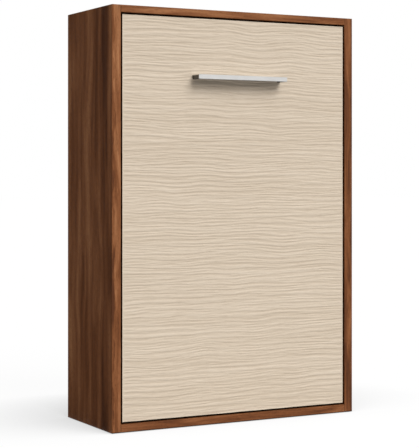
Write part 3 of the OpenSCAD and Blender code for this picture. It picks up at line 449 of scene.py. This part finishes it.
def birch():
    """Birch plywood. The long cut edges show its plies, a dark one every 1.5 mm."""
    ply_rate = 4200.0
    material, tree, surface = finish("birch_ply", Specular_IOR_Level=0.4, Coat_Roughness=0.3)
    figure = use(tree, wood_figure, Vector=place_of(tree, ABOUT_Y),
                 Band_Width=0.03, Line_Width=0.004, Wander=0.012, Stretch=0.05)
    tone = figure_tone(tree, figure, 0.0, Bands=0.45, Lines=0.30, Fibres=0.15)
    colour = shades(tree, tone, [(0.1, (0.50, 0.33, 0.17)), (0.5, (0.62, 0.44, 0.25)),
                                 (0.95, (0.72, 0.56, 0.36))])
    here = put(tree, "TexCoord").outputs
    cut_edge = calc(tree, "GREATER_THAN", calc(tree, "ABSOLUTE", parts_of(tree, here["Normal"])[2]), 0.7)
    layers = calc(tree, "SINE", calc(tree, "MULTIPLY", parts_of(tree, here["Object"])[1], ply_rate))
    plies = calc(tree, "MULTIPLY", calc(tree, "GREATER_THAN", layers, 0.2), cut_edge)
    colour = tint(tree, calc(tree, "MULTIPLY", plies, 0.55), colour, (0.30, 0.17, 0.08))
    connect(tree, surface, colour, spread(tree, figure["Lines"], 0.0, 1.0, 0.34, 0.46),
            relief(tree, figure["Height"], 0.0002, 0.4))
    return material


def back_board():
    material, tree, surface = finish("back_board", Specular_IOR_Level=0.3)
    grit = use(tree, fine_grit, Vector=place_of(tree), Size=0.004)
    colour = shades(tree, grit["Cloud"], [(0.3, (0.575, 0.535, 0.470)), (0.7, (0.625, 0.585, 0.518))])
    colour = tint(tree, calc(tree, "MULTIPLY", grit["Speckle"], 0.30), colour, (0.46, 0.41, 0.33))
    connect(tree, surface, colour, spread(tree, grit["Speckle"], 0.0, 1.0, 0.62, 0.78),
            relief(tree, grit["Height"], 0.0003, 0.5))
    return material


def zinc():
    material, tree, surface = finish("zinc_plating", Metallic=1.0)
    grit = use(tree, fine_grit, Vector=place_of(tree), Size=0.0025)
    colour = shades(tree, grit["Speckle"], [(0.0, (0.48, 0.50, 0.53)), (1.0, (0.66, 0.68, 0.70))])
    connect(tree, surface, colour, spread(tree, grit["Cloud"], 0.3, 0.7, 0.32, 0.50),
            relief(tree, grit["Height"], 0.0001, 0.4))
    return material


def powder_coat():
    material, tree, surface = finish("powder_paint", Specular_IOR_Level=0.45)
    place = place_of(tree)
    grit = use(tree, fine_grit, Vector=place, Size=0.0014)
    wear = use(tree, worn_edges, Vector=place, Radius=0.0012)
    colour = shades(tree, grit["Cloud"], [(0.3, (0.060, 0.064, 0.068)), (0.7, (0.095, 0.100, 0.106))])
    colour = tint(tree, calc(tree, "MULTIPLY", wear["Edge"], 0.25), colour, (0.22, 0.225, 0.235))
    connect(tree, surface, colour, spread(tree, grit["Speckle"], 0.0, 1.0, 0.42, 0.56),
            relief(tree, grit["Height"], 0.0002, 0.5, wear["Normal"]))
    return material


def moulded(name, dark, light, rough, size, shine=0.4):
    """Plastic or rubber with a grain of this size. rough is the middle of its roughness."""
    material, tree, surface = finish(name, Specular_IOR_Level=shine)
    grit = use(tree, fine_grit, Vector=place_of(tree), Size=size)
    colour = shades(tree, grit["Cloud"], [(0.3, dark), (0.7, light)])
    connect(tree, surface, colour, spread(tree, grit["Speckle"], 0.0, 1.0, rough - 0.06, rough + 0.08),
            relief(tree, grit["Height"], 0.0002, 0.6))
    return material


def brushed_metal(name, dark, light, rough, turn=None, painted_underside_shade=None):
    """Brushed metal. An underside colour, if given, paints shade on what faces down or back of the profile.
    """
    material, tree, surface = finish(name, Metallic=1.0)
    lines = use(tree, brushing, Vector=place_of(tree, turn), Width=0.0008)
    colour = shades(tree, lines["Streaks"], [(0.0, dark), (1.0, light)])
    if painted_underside_shade:
        # Painted shade: faces turned down or back take a near-black colour, as if shaded under the profile.
        facing = parts_of(tree, put(tree, "TexCoord").outputs["Normal"])
        facing_down_or_back = calc(tree, "MAXIMUM", facing[1], calc(tree, "MULTIPLY", facing[2], -1.0))
        colour = tint(tree, spread(tree, facing_down_or_back, 0.55, 0.85), colour, painted_underside_shade)
    connect(tree, surface, colour, spread(tree, lines["Smudges"], 0.0, 1.0, rough - 0.015, rough + 0.025),
            relief(tree, lines["Height"], 0.00003, 0.25))
    return material


def lacquer():
    material, tree, surface = finish("gloss_lacquer", Coat_Weight=0.6, Coat_Roughness=0.08)
    grit = use(tree, fine_grit, Vector=place_of(tree), Size=0.002)
    colour = shades(tree, grit["Cloud"], [(0.3, (0.014, 0.014, 0.016)), (0.7, (0.028, 0.028, 0.031))])
    connect(tree, surface, colour, spread(tree, grit["Speckle"], 0.0, 1.0, 0.24, 0.34),
            relief(tree, grit["Height"], 0.0001, 0.25))
    return material


def cloth(name, low, high, pitch, rough=0.85, depth=0.0004, seam_painted_shade=None):
    """Woven cloth. A seam colour, if given, is painted shade in the sewn creases where the mesh is marked as
    seam.
    """
    material, tree, surface = finish(name, Specular_IOR_Level=0.2, Sheen_Weight=0.15, Sheen_Roughness=0.5)
    threads = use(tree, weave, Vector=place_of(tree), Pitch=pitch)
    tone = calc(tree, "MULTIPLY_ADD", threads["Threads"], 0.6, calc(tree, "MULTIPLY", threads["Slub"], 0.4))
    colour = shades(tree, tone, [(0.1, low), (0.85, high)])
    if seam_painted_shade:
        # Painted shade: the stitched seams are darkened, as shade in their creases.
        seam = put(tree, "Attribute", attribute_name="seam").outputs["Fac"]
        shaded = calc(tree, "MULTIPLY", spread(tree, seam, 0.35, 1.0), 0.35)
        colour = tint(tree, shaded, colour, seam_painted_shade)
    connect(tree, surface, colour, spread(tree, threads["Slub"], 0.3, 0.7, rough - 0.05, rough + 0.07),
            relief(tree, threads["Height"], depth, 0.6))
    return material


def dress(material, *names):
    """Gives this material to whole CAD parts."""
    for name in names:
        for slot in nodes[name].material_slots:
            slot.material = material


# Mesh helpers

def grid_faces(columns, rows, flip=False):
    quads = []
    for r in range(rows - 1):
        for c in range(columns - 1):
            a = r * columns + c
            quad = (a, a + 1, a + columns + 1, a + columns)
            quads.append(quad[::-1] if flip else quad)
    return quads


def rim(columns, rows):
    """Numbers of a grid's outer points, once round."""
    bottom = list(range(columns))
    right = [r * columns + columns - 1 for r in range(1, rows)]
    top = [(rows - 1) * columns + c for c in range(columns - 2, -1, -1)]
    left = [r * columns for r in range(rows - 2, 0, -1)]
    return bottom + right + top + left


def mesh_piece(name, points, faces, smooth=True):
    mesh = bpy.data.meshes.new(name)
    mesh.from_pydata(points, [], faces)
    mesh.update()
    if smooth:
        mesh.shade_smooth()
    return add_object(name, mesh)


def sharpen(piece, angle):
    piece.data.set_sharp_from_angle(angle=math.radians(angle))


def mark_points(piece, label, values):
    """Keeps one number for each point of the mesh, which a finish can read under this label."""
    marks = piece.data.attributes.new(label, "FLOAT", "POINT")
    marks.data.foreach_set("value", np.array(values, np.float32))


def direction(before, after):
    return Vector((after[0] - before[0], after[1] - before[1])).normalized()


# Rippled front panel

# The random fields are a little larger than the panel. EASE is the bevel round the carved face.
FIELD_W, FIELD_H, FIELD_COLUMNS, FIELD_ROWS = 1.6, 2.4, 400, 1600
EASE, LIP, GROOVE_DEPTH = 0.0018, 0.003, 0.0027
# The bevel and the four sides take a near-black finish, painted shade for the deep gap round the panel.
CARVED, SIDES_IN_PAINTED_SHADE = 0, 1


def filtered_field(keep, seed):
    """Random heights of which only some wave lengths are kept, with a spread of 1."""
    rng = np.random.default_rng(seed)
    waves = np.fft.fft2(rng.standard_normal((FIELD_ROWS, FIELD_COLUMNS)))
    field = np.real(np.fft.ifft2(waves * keep))
    return field / field.std()


def ripple_field(pitch, share, drift, seed):
    """Smooth waves whose height repeats about every pitch up the panel and changes slowly along it."""
    up = np.abs(np.fft.fftfreq(FIELD_ROWS, FIELD_H / FIELD_ROWS))[:, None] * pitch
    along = np.fft.fftfreq(FIELD_COLUMNS, FIELD_W / FIELD_COLUMNS)[None, :] / drift
    return filtered_field(np.exp(-(((up - 1.0) / share) ** 2)) * np.exp(-(along ** 2)), seed)


def slow_field(length_x, length_z, seed):
    """Gentle hills without a pitch of their own."""
    up = np.fft.fftfreq(FIELD_ROWS, FIELD_H / FIELD_ROWS)[:, None] * length_z
    along = np.fft.fftfreq(FIELD_COLUMNS, FIELD_W / FIELD_COLUMNS)[None, :] * length_x
    return filtered_field(np.exp(-(math.pi ** 2) * (up ** 2 + along ** 2) / 2), seed)


def read_field(field, xs, zs):
    """The field's height at each place, between its four nearest grid points."""
    columns = (xs + FIELD_W / 2) / FIELD_W * FIELD_COLUMNS
    rows = zs / FIELD_H * FIELD_ROWS
    left, low = np.floor(columns).astype(int), np.floor(rows).astype(int)
    across, up = columns - left, rows - low

    def pick(row, column):
        return field[row % FIELD_ROWS, column % FIELD_COLUMNS]

    return ((pick(low, left) * (1 - across) + pick(low, left + 1) * across) * (1 - up)
            + (pick(low + 1, left) * (1 - across) + pick(low + 1, left + 1) * across) * up)


def ripple_depth(xs, zs):
    """Depth of the grooves over the panel, from 0 on a crest to 1 in the deepest groove."""
    sway, fine_share, brief_share, steepness, lean = 0.0037, 0.66, 0.56, 1.30, 0.10
    xs, zs = np.meshgrid(xs, zs)
    zs = zs + sway * read_field(slow_field(length_x=0.13, length_z=0.10, seed=3), xs, zs)
    broad = read_field(ripple_field(pitch=0.0285, share=0.36, drift=2.5, seed=11), xs, zs)
    fine = read_field(ripple_field(pitch=0.0150, share=0.34, drift=3.3, seed=29), xs, zs)
    brief = read_field(ripple_field(pitch=0.0135, share=0.45, drift=11.0, seed=41), xs, zs)
    field = broad + fine_share * fine + brief_share * brief
    return 1.0 / (1.0 + np.exp(steepness * (field + lean)))


def carved_face():
    """Points of the carved face with the groove depth at each, and how many columns and rows they form.
    A plain lip runs up its left and right edges, where the grooves fade out."""
    border, fade_width, inner_columns, rows = 0.025, 0.006, 108, 810
    half = PANEL_HIGH.x - EASE
    near_edge = np.array([0.0, 0.0015, LIP, LIP + 0.004, LIP + 0.010])
    inner = np.linspace(-half + border, half - border, inner_columns)
    xs = np.concatenate([-half + near_edge, inner, half - near_edge[::-1]])
    zs = np.linspace(PANEL_LOW.z + EASE, PANEL_HIGH.z - EASE, rows)
    fade = np.clip((half - np.abs(xs) - LIP) / fade_width, 0.0, 1.0)
    depth = ripple_depth(xs, zs) * (fade * fade * (3 - 2 * fade))[None, :]
    points = [(x, PANEL_LOW.y + GROOVE_DEPTH * d, z) for z, row in zip(zs, depth) for x, d in zip(xs, row)]
    return points, list(depth.ravel()), len(xs), rows


def add_bevel(points, columns, rows):
    """Adds the ring of points one bevel outside the carved face, and gives both rings, closed."""
    near, least_drop = EASE * 1.5, 0.0004
    inner = rim(columns, rows)
    outer = list(range(len(points), len(points) + len(inner)))
    for index in inner:
        x, y, z = points[index]
        if abs(x) > PANEL_HIGH.x - near:
            x += math.copysign(EASE, x)
        if z > PANEL_HIGH.z - near:
            z += EASE
        elif z < PANEL_LOW.z + near:
            z -= EASE
        points.append((x, max(PANEL_LOW.y + EASE, y + least_drop), z))
    return inner + inner[:1], outer + outer[:1]


def rippled_panel():
    """The front panel: carved face, bevel, four plain sides and the back."""
    points, groove, columns, rows = carved_face()
    faces = grid_faces(columns, rows)
    slots = [CARVED] * len(faces)
    inner, outer = add_bevel(points, columns, rows)
    for i in range(len(inner) - 1):
        faces.append((inner[i], outer[i], outer[i + 1], inner[i + 1]))
    back = len(points)
    points += [(PANEL_LOW.x, PANEL_HIGH.y, PANEL_LOW.z), (PANEL_HIGH.x, PANEL_HIGH.y, PANEL_LOW.z),
               (PANEL_HIGH.x, PANEL_HIGH.y, PANEL_HIGH.z), (PANEL_LOW.x, PANEL_HIGH.y, PANEL_HIGH.z)]
    corner = 0
    for k, run in enumerate((columns - 1, rows - 1, columns - 1, rows - 1)):
        along = outer[corner:corner + run + 1]
        faces.append((back + k, back + (k + 1) % 4, *along[::-1]))
        corner += run
    slots += [SIDES_IN_PAINTED_SHADE] * (len(faces) - len(slots))
    faces.append((back + 3, back + 2, back + 1, back))
    slots.append(CARVED)
    groove += [0.0] * (len(points) - len(groove))
    panel = mesh_piece("rippled_front_panel", points, faces)
    sharpen(panel, 32)
    mark_points(panel, "groove", groove)
    panel.data.materials.append(larch_front())
    # Painted shade: the near-black, barely shiny finish on the bevel and sides stands in for the shade in
    # the gap.
    panel.data.materials.append(moulded("painted_gap_shade", (0.014, 0.0052, 0.0012), (0.024, 0.0092, 0.0022),
                                        rough=0.6, size=0.0012, shine=0.05))
    panel.data.polygons.foreach_set("material_index", slots)
    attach(panel, "bed")
    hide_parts("front_panel")


# Mattress and strap

# CROWN is the rise of the top over its edge, CORNER the radius of the outline's corners, and STITCHES
# the steps of the grid from one seam to the next.
HALF_W, HALF_L = MATTRESS_HIGH.x, (MATTRESS_HIGH.z - MATTRESS_LOW.z) / 2
MID_Z = (MATTRESS_LOW.z + MATTRESS_HIGH.z) / 2
UNDER_Y, CROWN_Y, CROWN = MATTRESS_LOW.y, MATTRESS_HIGH.y, 0.009
EDGE_Y = CROWN_Y - CROWN
CORNER, TAPE = 0.070, 0.004
TAPE_RADIUS = TAPE * 0.9
STRAIGHT_W, STRAIGHT_L = HALF_W - CORNER, HALF_L - CORNER
STRAP_Z, STRAP_W, STRAP_T = (STRAP_LOW.z + STRAP_HIGH.z) / 2, STRAP_HIGH.z - STRAP_LOW.z, 0.0016
QUILT_COLUMNS, QUILT_ROWS, STITCHES = 8, 13, 12


def rounded_place(u, v, inset):
    """Square grid place to a place in the mattress's rounded outline, as x and z from its middle."""
    half_x, half_z, radius = HALF_W - inset, HALF_L - inset, CORNER - inset
    x, z = u * half_x, v * half_z
    past_x, past_z = (abs(x) - (half_x - radius)) / radius, (abs(z) - (half_z - radius)) / radius
    if past_x > 0 and past_z > 0:
        round_x, round_z = past_x * math.sqrt(1 - past_z ** 2 / 2), past_z * math.sqrt(1 - past_x ** 2 / 2)
        x = math.copysign(half_x - radius + round_x * radius, x)
        z = math.copysign(half_z - radius + round_z * radius, z)
    return x, z


def on_outline(x, z, inset):
    """The place on the outline, moved in by inset, that lies straight out from x, z."""
    centre_x = max(-STRAIGHT_W, min(STRAIGHT_W, x))
    centre_z = max(-STRAIGHT_L, min(STRAIGHT_L, z))
    out = direction((centre_x, centre_z), (x, z))
    return centre_x + out[0] * (CORNER - inset), centre_z + out[1] * (CORNER - inset)


def crown_at(u, v):
    """Height of the top before it is quilted."""
    return EDGE_Y + CROWN * (1 - abs(u) ** 3) * (1 - abs(v) ** 3)


def puff_up(top, sewn, start):
    """Air presses the sewn cover up between its seams, and no point moves further than the three limits."""
    last_frame, sideways, sink, swell = 20, 0.004, 0.001, 0.0105
    held = top.vertex_groups.new(name="sewn")
    held.add(sewn, 1.0, "REPLACE")
    fabric = top.modifiers.new("cover", "CLOTH")
    fabric.settings.vertex_group_mass = "sewn"
    fabric.settings.quality = 6
    fabric.settings.mass = 0.25
    fabric.settings.air_damping = 2.0
    fabric.settings.tension_stiffness = fabric.settings.compression_stiffness = 20
    fabric.settings.shear_stiffness = 6
    fabric.settings.bending_stiffness = 0.4
    fabric.settings.shrink_min = -0.018
    fabric.settings.use_pressure = True
    fabric.settings.uniform_pressure_force = 4.0
    fabric.settings.effector_weights.gravity = 0.0
    fabric.collision_settings.use_collision = False
    fabric.collision_settings.use_self_collision = False
    scene = bpy.context.scene
    for at in range(1, last_frame + 1):
        scene.frame_set(at)
    puffed = top.evaluated_get(bpy.context.evaluated_depsgraph_get())
    found = np.empty(len(start) * 3)
    puffed.data.vertices.foreach_get("co", found)
    top.modifiers.remove(fabric)
    scene.frame_set(1)
    return start + np.clip(found.reshape(-1, 3) - start,
                           (-sideways, -sink, -sideways), (sideways, swell, sideways))


def sewn_grid(columns, rows):
    """Points of the cover's top, whether each is in a seam, and how near it is to the middle of its box."""
    seam_depth, rim_width, arch, crumple = 0.0075, 0.02, 0.0022, 0.0005
    us, vs = np.linspace(-1, 1, columns), np.linspace(-1, 1, rows)
    rng = np.random.default_rng(17)
    points, seams, middles = [], [], []
    for r, v in enumerate(vs):
        for c, u in enumerate(us):
            x, z = rounded_place(u, v, TAPE * 1.4)
            to_rim = min((1 - abs(u)) * HALF_W, (1 - abs(v)) * HALF_L)
            in_seam = c % STITCHES == 0 or r % STITCHES == 0
            middle = abs(math.sin(math.pi * c / STITCHES) * math.sin(math.pi * r / STITCHES))
            y = crown_at(u, v) - seam_depth * min(1.0, to_rim / rim_width)
            if not in_seam:
                y += arch * middle ** 0.5 + crumple * rng.standard_normal() * middle
            points.append((x, y, z + MID_Z))
            seams.append(1.0 if in_seam else 0.0)
            middles.append(middle)
    return points, seams, middles


def quilted_top():
    """The sewn top of the cover, as a mesh whose rim lies on the mattress's upper edge."""
    quick_arch, strap_reach, strap_sink, clear = 0.0055, 0.036, 0.0028, 0.0004
    columns, rows = QUILT_COLUMNS * STITCHES + 1, QUILT_ROWS * STITCHES + 1
    points, seams, middles = sewn_grid(columns, rows)
    top = mesh_piece("quilted_top", points, grid_faces(columns, rows, flip=True))
    mark_points(top, "seam", seams)
    shape = np.array(points)
    shape = puff_up(top, [i for i, in_seam in enumerate(seams) if in_seam], shape)
    press = np.exp(-((shape[:, 2] - STRAP_Z) / strap_reach) ** 4)
    shape[:, 1] = np.minimum(shape[:, 1], CROWN_Y - clear - strap_sink * press)
    top.data.vertices.foreach_set("co", shape.ravel())
    top.data.update()
    smoother = top.modifiers.new("smooth", "SUBSURF")
    smoother.levels = smoother.render_levels = 1
    return top


def border_levels():
    """Steps from the top's rim round to the underside: inset, height, and how far the sides are drawn in."""
    channels, steps, channel_depth, least_inset = 3, 24, 0.0048, 0.0008
    high_y, low_y = EDGE_Y - TAPE * 2.1, UNDER_Y + TAPE * 2.1
    levels = [(TAPE * 0.6, EDGE_Y - TAPE * 0.5, 0.0), (TAPE_RADIUS, high_y, 0.3)]
    for k in range(1, steps):
        t = k / steps
        puff = abs(math.sin(math.pi * channels * t)) ** 0.5
        y = high_y + (low_y - high_y) * t
        levels.append((channel_depth * (1 - puff) + least_inset, y, math.sin(math.pi * t) ** 0.5))
    levels += [(TAPE_RADIUS, low_y, 0.3), (TAPE * 0.6, UNDER_Y + TAPE * 0.5, 0.0)]
    levels += [(inset, UNDER_Y + 0.0001, 0.0) for inset in (TAPE * 2.0, 0.020, 0.045)]
    return levels


def add_border(body):
    """Joins the border and the underside to the open rim of the top, in the second material."""
    drawn_in, border = 0.004, 1
    ring = [edge for edge in body.edges if edge.is_boundary]
    for inset, y, drawn in border_levels():
        made = bmesh.ops.extrude_edge_only(body, edges=ring)["geom"]
        ring = [part for part in made if isinstance(part, bmesh.types.BMEdge) and part.is_boundary]
        for point in {p for edge in ring for p in edge.verts}:
            x, z = on_outline(point.co.x, point.co.z - MID_Z, inset)
            side_x, side_z = max(0.0, 1 - (z / HALF_L) ** 2), max(0.0, 1 - (x / HALF_W) ** 2)
            if abs(x) > STRAIGHT_W:
                x -= math.copysign(drawn_in * drawn * side_x, x)
            if abs(z) > STRAIGHT_L:
                z -= math.copysign(drawn_in * drawn * side_z, z)
            point.co = (x, y, z + MID_Z)
        for part in made:
            if isinstance(part, bmesh.types.BMFace):
                part.material_index, part.smooth = border, True
    for face in bmesh.ops.contextual_create(body, geom=ring)["faces"]:
        face.material_index, face.smooth = border, False
    bmesh.ops.recalc_face_normals(body, faces=body.faces)


def quilted_mattress():
    """The whole cover: the puffed top, the border with its channels, and the underside."""
    top = quilted_top()
    body = bmesh.new()
    body.from_mesh(bpy.data.meshes.new_from_object(top.evaluated_get(bpy.context.evaluated_depsgraph_get())))
    bpy.data.objects.remove(top)
    add_border(body)
    mesh = bpy.data.meshes.new("quilted_mattress")
    body.to_mesh(mesh)
    body.free()
    mattress = add_object("quilted_mattress", mesh)
    # The ticking's seam colour is painted shade in the quilting's creases.
    mesh.materials.append(cloth("mattress_ticking", (0.69, 0.67, 0.62), (0.86, 0.85, 0.81), 0.0024,
                                seam_painted_shade=(0.46, 0.44, 0.40)))
    mesh.materials.append(cloth("mattress_border", (0.40, 0.405, 0.41), (0.58, 0.585, 0.59), 0.003))
    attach(mattress, "bed")
    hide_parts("mattress")


def outline_spots(inset):
    """Places once round the mattress's outline, about 20 mm apart on the straights."""
    spacing, corner_steps, radius = 0.020, 12, CORNER - inset
    spots = []
    for k, (side_x, side_z) in enumerate(((1, 1), (-1, 1), (-1, -1), (1, -1))):
        centre_x, centre_z = side_x * STRAIGHT_W, side_z * STRAIGHT_L
        for i in range(corner_steps + 1):
            angle = math.pi / 2 * (k + i / corner_steps)
            spots.append((centre_x + radius * math.cos(angle), centre_z + radius * math.sin(angle)))
        run = 2 * (STRAIGHT_W, STRAIGHT_L)[k % 2]
        steps = round(run / spacing)
        step_x, step_z = ((-1, 0), (0, -1), (1, 0), (0, 1))[k]
        x, z = spots[-1]
        spots += [(x + step_x * run * i / steps, z + step_z * run * i / steps) for i in range(1, steps)]
    return spots


def edge_tape(name, y, material):
    """Round tape along the edge of the mattress at this height."""
    sides = 10
    spots = outline_spots(TAPE_RADIUS)
    count = len(spots)
    points, faces = [], []
    for i, (x, z) in enumerate(spots):
        run = direction(spots[i - 1], spots[(i + 1) % count])
        for k in range(sides):
            angle = 2 * math.pi * k / sides
            wide, deep = TAPE_RADIUS * math.cos(angle), TAPE_RADIUS * math.sin(angle)
            points.append((x + run[1] * wide, y + deep, z - run[0] * wide + MID_Z))
    for i in range(count):
        here, ahead = i * sides, (i + 1) % count * sides
        for k in range(sides):
            beside = (k + 1) % sides
            faces.append((here + k, here + beside, ahead + beside, ahead + k))
    tape = mesh_piece(name, points, faces)
    tape.data.materials.append(material)
    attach(tape, "bed")


def strap_path():
    """Underside of the strap as x, y: from its left end up the mattress's side, over it, and down again."""
    side, bend = HALF_W + 0.0003, 0.008
    foot, top = STRAP_LOW.y, STRAP_HIGH.y - STRAP_T
    path = [(STRAP_LOW.x, foot), (-side - 0.006, foot), (-side - 0.0012, foot + 0.0025),
            (-side, foot + 0.008)]
    path += [(-side, y) for y in np.linspace(foot + 0.023, top - 0.0196, 12)]
    for angle in np.linspace(0, math.pi / 2, 6):
        path.append((-side + bend * (1 - math.cos(angle)), top - bend + bend * math.sin(angle)))
    path += [(x, top) for x in np.linspace(-side + 0.03, 0.0, 20)]
    return path + [(-x, y) for x, y in path[-2::-1]]


def band_faces(sections, across):
    """Faces of a closed band. Each of its sections has this many points below and as many above."""
    row, faces = 2 * across, []
    for i in range(sections - 1):
        a, b = i * row, (i + 1) * row
        for k in range(across - 1):
            faces.append((b + k, b + k + 1, a + k + 1, a + k))
            faces.append((a + across + k + 1, b + across + k + 1, b + across + k, a + across + k))
        faces.append((a + across, b + across, b, a))
        faces.append((b + across - 1, b + row - 1, a + row - 1, a + across - 1))
    section = list(range(across - 1, -1, -1)) + list(range(across, row))
    faces.append(section[::-1])
    faces.append([(sections - 1) * row + k for k in section])
    return faces


def webbing_strap():
    """Flat woven band over the mattress, a little thinner along its edges."""
    across, thinner_edge = 9, 0.45
    path = strap_path()
    points = []
    for i, (x, y) in enumerate(path):
        run = direction(path[max(i - 1, 0)], path[min(i + 1, len(path) - 1)])
        for upper in (False, True):
            for k in range(across):
                s = k / (across - 1) * 2 - 1
                lift = STRAP_T * (1 - thinner_edge * abs(s) ** 6) if upper else 0.0
                points.append((x - run[1] * lift, y + run[0] * lift, STRAP_Z + s * STRAP_W / 2))
    strap = mesh_piece("webbing_strap", points, band_faces(len(path), across))
    sharpen(strap, 50)
    strap.data.materials.append(cloth("woven_webbing", (0.012, 0.012, 0.013), (0.045, 0.045, 0.048), 0.0022,
                                      rough=0.75, depth=0.0006))
    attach(strap, "bed")
    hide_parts("mattress_strap")


# Studio

def seen_by_eye(tree):
    """1 for rays from the camera or a shiny or clear surface, 0 for light that bounces."""
    rays = put(tree, "LightPath").outputs
    seen = calc(tree, "MAXIMUM", rays["Is Camera Ray"], rays["Is Glossy Ray"])
    return calc(tree, "MAXIMUM", seen, rays["Is Transmission Ray"])


def set_studio():
    """The eye and shiny surfaces see plain white all round, and the part gets soft, slightly warm light."""
    world = bpy.data.worlds.new("studio")
    bpy.context.scene.world = world
    world.use_nodes = True
    tree = world.node_tree
    tree.nodes.clear()
    seen = seen_by_eye(tree)
    soft, white = put(tree, "Background"), put(tree, "Background")
    soft.inputs["Color"].default_value = (1.0, 0.975, 0.94, 1.0)
    soft.inputs["Strength"].default_value = 0.35
    white.inputs["Color"].default_value = (1.0, 1.0, 1.0, 1.0)
    white.inputs["Strength"].default_value = 1.0
    mix = put(tree, "MixShader")
    feed(tree, mix.inputs[0], seen)
    feed(tree, mix.inputs[1], soft.outputs[0])
    feed(tree, mix.inputs[2], white.outputs[0])
    feed(tree, put(tree, "OutputWorld").inputs["Surface"], mix.outputs[0])


def floor_finish():
    """The eye sees a floor that glows nearly white, less so close to the part, and that takes little light.
    For light that bounces, the floor is plain matt grey. The shade falls away from the key light."""
    white, shade, shade_reach = 0.955, 0.58, 0.80
    bounced, shown = (0.60, 0.60, 0.60), (0.055, 0.055, 0.055)
    material = bpy.data.materials.new("studio_floor")
    material.use_nodes = True
    tree = material.node_tree
    tree.nodes.clear()
    seen = seen_by_eye(tree)
    matt, glow = put(tree, "BsdfDiffuse"), put(tree, "Emission")
    towards_lamp = put(tree, "CombineXYZ")
    for socket, value in zip(towards_lamp.inputs, (0.10, -0.85, 0.52)):
        socket.default_value = value
    near = put(tree, "AmbientOcclusion", samples=16)
    near.inputs["Distance"].default_value = shade_reach
    feed(tree, near.inputs["Normal"], towards_lamp.outputs[0])
    shadow = calc(tree, "MULTIPLY", calc(tree, "SUBTRACT", 1.0, near.outputs["AO"]), shade)
    feed(tree, matt.inputs["Color"], tint(tree, seen, bounced, shown))
    feed(tree, glow.inputs["Strength"], calc(tree, "MULTIPLY", seen, calc(tree, "SUBTRACT", white, shadow)))
    both = put(tree, "AddShader")
    feed(tree, both.inputs[0], matt.outputs[0])
    feed(tree, both.inputs[1], glow.outputs[0])
    feed(tree, put(tree, "OutputMaterial").inputs["Surface"], both.outputs[0])
    return material


def set_floor():
    far = 60
    corners = [(-far, -far, 0), (far, -far, 0), (far, far, 0), (-far, far, 0)]
    floor = mesh_piece("studio_floor", corners, [(0, 1, 2, 3)], False)
    floor.data.materials.append(floor_finish())


def set_dark_card():
    """A dark card left of the object that only shiny surfaces show, as in a photographer's studio."""
    far_x, near_x, front, back, low, high = -2.2, SIDE_LOW.x - 0.02, -1.5, 14.0, 0.001, 5.0
    corners = [(far_x, front, low), (far_x, back, low), (far_x, back, high), (far_x, front, high),
               (near_x, front, low), (near_x, back, low)]
    card = mesh_piece("dark_card", corners, [(0, 1, 2, 3), (0, 4, 5, 1)], False)
    black = finish("dark_card", Base_Color=(0.02, 0.02, 0.02, 1.0), Roughness=1.0, Specular_IOR_Level=0.0)[0]
    card.data.materials.append(black)
    for ray in ("camera", "diffuse", "shadow", "transmission", "volume_scatter"):
        setattr(card, "visible_" + ray, False)


# Putting it together

set_camera()
set_key_light()
set_studio()
set_floor()
set_dark_card()

dress(walnut("walnut_left", heart=0.34, margin=0.28, rise=0.13), "left_side_panel")
dress(walnut("walnut_right", shift=(0.7, 0.3, 2.1), depth=0.25, heart=0.2, margin=0.1, rise=0.08),
      "right_side_panel")
dress(walnut("walnut_top", ABOUT_Y, shift=(0.4, 0.2, 0.0), depth=0.05, joints=True), "top_panel")
dress(walnut("walnut_base", ABOUT_Y, shift=(0.1, 0.5, 0.3), depth=0.17, joints=True), "base_panel")
dress(walnut("walnut_rails", ABOUT_Y, shift=(0.9, 0.7, 0.4)), "upper_wall_rail", "lower_wall_rail")
dress(back_board(), "back_sheet_lower", "back_sheet_upper", "back_joiner")
dress(zinc(), "corner_brackets", "corner_screws", "stop_brackets", "stop_screws", "plate_screws",
      "left_pivot_pin", "right_pivot_pin", "left_anchor_stud", "right_anchor_stud", "handle_screws",
      "panel_brackets", "bracket_screws", "left_spring_stud", "right_spring_stud", "strike_plates",
      "leg_pivot_bolts", "leg_bar_screws", "left_spring_gland", "right_spring_gland")
dress(powder_coat(), "left_mechanism_plate", "right_mechanism_plate", "left_rail", "right_rail",
      "head_rail", "foot_rail", "cross_rails", "mattress_ledge", "mattress_guards", "leg_brackets",
      "left_leg", "right_leg", "leg_crossbar")
dress(moulded("black_nylon", (0.018, 0.018, 0.019), (0.034, 0.034, 0.036), rough=0.5, size=0.0012),
      "floor_glides", "rail_end_caps", "slat_holders", "left_pivot_bush", "right_pivot_bush", "strap_buckle")
dress(moulded("buffer_rubber", (0.014, 0.014, 0.014), (0.026, 0.026, 0.026), rough=0.8, size=0.002),
      "stop_buffers", "leg_pads")
dress(moulded("magnet_face", (0.040, 0.040, 0.044), (0.065, 0.065, 0.070), rough=0.4, size=0.001),
      "catch_magnets")
# The handle's underside colour is painted shade under and behind its lip.
dress(brushed_metal("brushed_aluminium", (0.500, 0.494, 0.482), (0.570, 0.563, 0.549), rough=0.32,
                    painted_underside_shade=(0.030, 0.028, 0.026)), "handle_bar")
# The handle's end blocks are dark grey metal, made darker still as painted shade on their end faces.
dress(brushed_metal("grey_end_blocks_and_painted_shade", (0.06, 0.057, 0.054), (0.13, 0.125, 0.12), rough=0.40, turn=ABOUT_Z),
      "handle_legs")
dress(birch(), "sprung_slats")
dress(lacquer(), "left_gas_cylinder", "right_gas_cylinder")
dress(brushed_metal("chromed_rod", (0.72, 0.73, 0.75), (0.80, 0.81, 0.83), rough=0.10, turn=ABOUT_Y),
      "left_gas_rod", "right_gas_rod")

rippled_panel()
quilted_mattress()
tape_cloth = cloth("mattress_tape", (0.60, 0.59, 0.56), (0.78, 0.77, 0.74), 0.0018)
edge_tape("mattress_tape_upper", EDGE_Y - TAPE, tape_cloth)
edge_tape("mattress_tape_under", UNDER_Y + TAPE, tape_cloth)
webbing_strap()

view = bpy.context.scene.view_settings
view.view_transform = "Standard"
